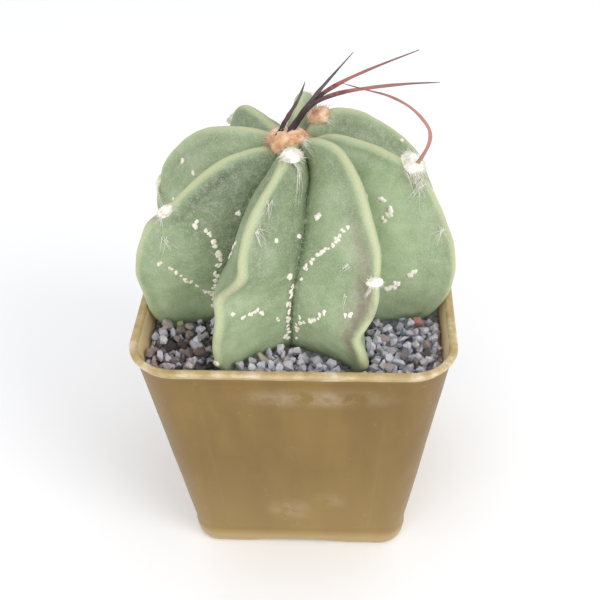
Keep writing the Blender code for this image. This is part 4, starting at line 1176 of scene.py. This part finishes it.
def make_wisps(finish):
    """Cobweb hairs from point to point over the skin, each a sagging line that bows out and strays sideways."""
    pick = np.random.default_rng(17)
    points, faces, first = [], [], 0
    for rib, side, start, end, count, spread in WISPS:
        a, normal_a, _ = skin_spot(rib, side, *start)
        b, normal_b, _ = skin_spot(rib, side, *end)
        normal = unit(normal_a + normal_b)
        middle, _, _ = skin_spot(rib, side, (start[0] + end[0]) / 2, (start[1] + end[1]) / 2)
        span = b - a
        across = unit(np.cross(span, normal))
        roots = a + across * pick.normal(size=(count, 1)) * spread * 0.6 * MM + normal * 0.25 * MM
        reach = pick.uniform(0.35, 1.15, (count, 1))
        tips = a + span * reach + across * pick.normal(size=(count, 1)) * spread * 1.3 * MM
        lift = np.maximum(((middle - (a + b) / 2) * normal).sum(), 0) + pick.uniform(0.1, 0.7, count) * MM
        bends = normal * lift[:, None] * 4 + across * pick.normal(size=(count, 1)) * spread * MM
        t = np.linspace(0, 1, 9)[None, :, None]
        path = roots[:, None] + (tips - roots)[:, None] * t + bends[:, None] * t * (1 - t)
        hair, hair_faces = hairs_along(path, COBWEB_HAIR)
        points.append(hair)
        faces += [group + first for group in hair_faces]
        first += len(hair)
    make_piece("areole_cobwebs", np.vstack(points), faces, finish, "wool", [])


# ---------------------------------------------------------------- spines

def make_spine(name, points, finish, width, seed):
    """A dry, flattened spine: an oval section with a channel along it, swept along its curve, twisting and
    tapering."""
    rings, sides = 60, 14
    share = np.linspace(0, 1, rings)
    path = spline(points, share * (len(points) - 1)) * MM + np.array([0, 0, POT_HEIGHT])
    along = unit(np.gradient(path, axis=0))
    side = unit(np.cross(along, np.array([0.0, -0.8, 0.6])))
    other = np.cross(side, along)
    twist = (0.5 * np.sin(share * 4 + seed) + 0.25 * np.sin(share * 11 + seed))[:, None]
    wide_way = side * np.cos(twist) + other * np.sin(twist)
    thin_way = other * np.cos(twist) - side * np.sin(twist)
    angle = np.arange(sides) * 2 * math.pi / sides
    # It thins slowly at first and fast at its tip, and is a little knobbly.
    half = width / 2 * (1 - 0.62 * share**0.7 - 0.3 * share**6) * (1 + 0.08 * np.sin(share * 31 + seed))
    thin = 0.42 * half
    channel = 1 - 0.45 * np.exp(-((angle - math.pi / 2) / 0.5) ** 2)
    wide = wide_way[:, None] * (np.cos(angle)[None] * half[:, None])[..., None]
    deep = thin_way[:, None] * ((np.sin(angle) * channel)[None] * thin[:, None])[..., None]
    body = path[:, None] + wide + deep
    vertices = np.vstack([body.reshape(-1, 3), path[:1], path[-1:]])
    vertices = np.clip(vertices, np.array(CAD_LOW), np.array(CAD_HIGH) - BOX_GAP)
    ring = np.arange(sides)
    total = rings * sides
    faces = [grid_faces(rings, sides)[:, ::-1], fan_faces(ring, total),
             fan_faces(ring + (rings - 1) * sides, total + 1, True)]
    make_piece(name + "_dry", vertices, faces, finish, "spine", [name],
               along=np.concatenate([np.repeat(share, sides), (0, 1)]))


def spine_finish(name, *stops):
    """Dried spine: papery and slightly glossy along its ridge, streaked every 3 mm, with its colours from root
    to tip."""
    made, tree, where = start_finish(name, Roughness=0.5, IOR=1.5)
    along = add(tree, "Attribute", attribute_name="along").outputs["Fac"]
    streak = add(tree, "TexNoise", {
        "Vector": where, "Scale": 350.0, "Detail": 5.0, "Roughness": 0.7}).outputs["Fac"]
    shifted = add(tree, "MapRange", {
        "Value": streak, "From Min": 0.3, "From Max": 0.7, "To Min": -0.12, "To Max": 0.12}).outputs["Result"]
    at = add(tree, "Math", {0: along, 1: shifted}, operation="ADD").outputs["Value"]
    colour = add(tree, "ValToRGB", {"Fac": at}, stops=stops).outputs["Color"]
    end_finish(tree, colour, streak, 0.1, 0.6)
    return made


# ---------------------------------------------------------------- studio

def aim(item, place_at, target):
    """Puts a light or camera at a place and points it at a target."""
    item.location = place_at
    item.rotation_euler = (Vector(target) - Vector(place_at)).to_track_quat("-Z", "Y").to_euler()


def make_studio():
    """A pale floor 6 m across, an even pale sky, a soft light to the right of the front and one to its left,
    and the camera."""
    scene = bpy.context.scene
    scene.view_settings.view_transform = "Standard"
    world = bpy.data.worlds.new("pale_sky")
    scene.world = world
    world.use_nodes = True
    sky = world.node_tree.nodes["Background"].inputs
    sky["Color"].default_value = linear("#f7f8fb")
    sky["Strength"].default_value = 0.95
    mesh = bpy.data.meshes.new("floor")
    mesh.from_pydata([(-3, -3, 0), (3, -3, 0), (3, 3, 0), (-3, 3, 0)], [], [(0, 1, 2, 3)])
    floor = bpy.data.objects.new("floor", mesh)
    scene.collection.objects.link(floor)
    mesh.materials.append(start_finish("pale_studio_paper", Base_Color=linear("#fdfdfd"), Roughness=0.9)[0])
    for name, size, power, spot in (
        ("right_softbox", 0.6, 3.6, (0.68, -0.5, 0.62)),
        ("left_softbox", 0.8, 2.4, (-0.45, -0.8, 0.42)),
    ):
        light = bpy.data.lights.new(name, "AREA")
        light.shape = "DISK"
        light.size = size
        light.energy = power
        item = bpy.data.objects.new(name, light)
        scene.collection.objects.link(item)
        aim(item, spot, (0, 0, 0.08))
    lens = bpy.data.cameras.new("camera")
    lens.lens = 60
    lens.sensor_width = 36
    lens.clip_start = 0.01
    camera = bpy.data.objects.new("camera", lens)
    scene.collection.objects.link(camera)
    pitch, yaw, roll = (math.radians(angle) for angle in (CAMERA_PITCH, CAMERA_YAW, CAMERA_ROLL))
    camera.matrix_world = (
        Matrix.Translation(CAMERA_PLACE) @ Matrix.Rotation(-yaw, 4, "Z")
        @ Matrix.Rotation(math.pi / 2 - pitch, 4, "X") @ Matrix.Rotation(roll, 4, "Z"))
    scene.camera = camera


# ---------------------------------------------------------------- everything

make_studio()
make_pot(pot_finish())
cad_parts["potting_mix"].material_slots[0].material = soil_finish()
make_gravel(stone_finish())
make_skin(skin_finish())
make_flecks(wool_finish("felt_fleck", (0.3, "#d8cfba"), (0.58, "#f3eddf")))
white_wool = wool_finish("cream_areole_wool", (0.3, "#e9e0cc"), (0.58, "#fffdf4"))
tan_wool = wool_finish(
    "tan_areole_wool", (0.34, "#bd8860"), (0.46, "#dbae86"), (0.57, "#eac8a4"), (0.68, "#f6e4cd"), grain=330.0)
make_wool(white_wool, tan_wool)
make_wisps(white_wool)
black = spine_finish(
    "dry_black_spine", (0.0, "#2a1d20"), (0.3, "#39242a"), (0.45, "#5a3438"), (0.65, "#4e4044"),
    (0.85, "#5d5457"), (1.0, "#353034"))
dark = spine_finish(
    "dry_dark_spine", (0.0, "#2a1d20"), (0.38, "#3a2329"), (0.52, "#583439"), (0.66, "#a5645a"),
    (0.85, "#8a635d"), (1.0, "#453d40"))
red = spine_finish(
    "dry_red_spine", (0.0, "#a88a76"), (0.2, "#b08271"), (0.5, "#ad7464"), (0.75, "#a06a60"),
    (0.9, "#6d4f50"), (1.0, "#3f3438"))
spine_kinds = {"spine_hooked": (red, THIN_SPINE), "spine_short": (black, THICK_SPINE),
               "spine_straight": (black, THICK_SPINE)}
for number, (name, points) in enumerate(SPINES.items()):
    make_spine(name, points, *spine_kinds.get(name, (dark, THICK_SPINE)), number)
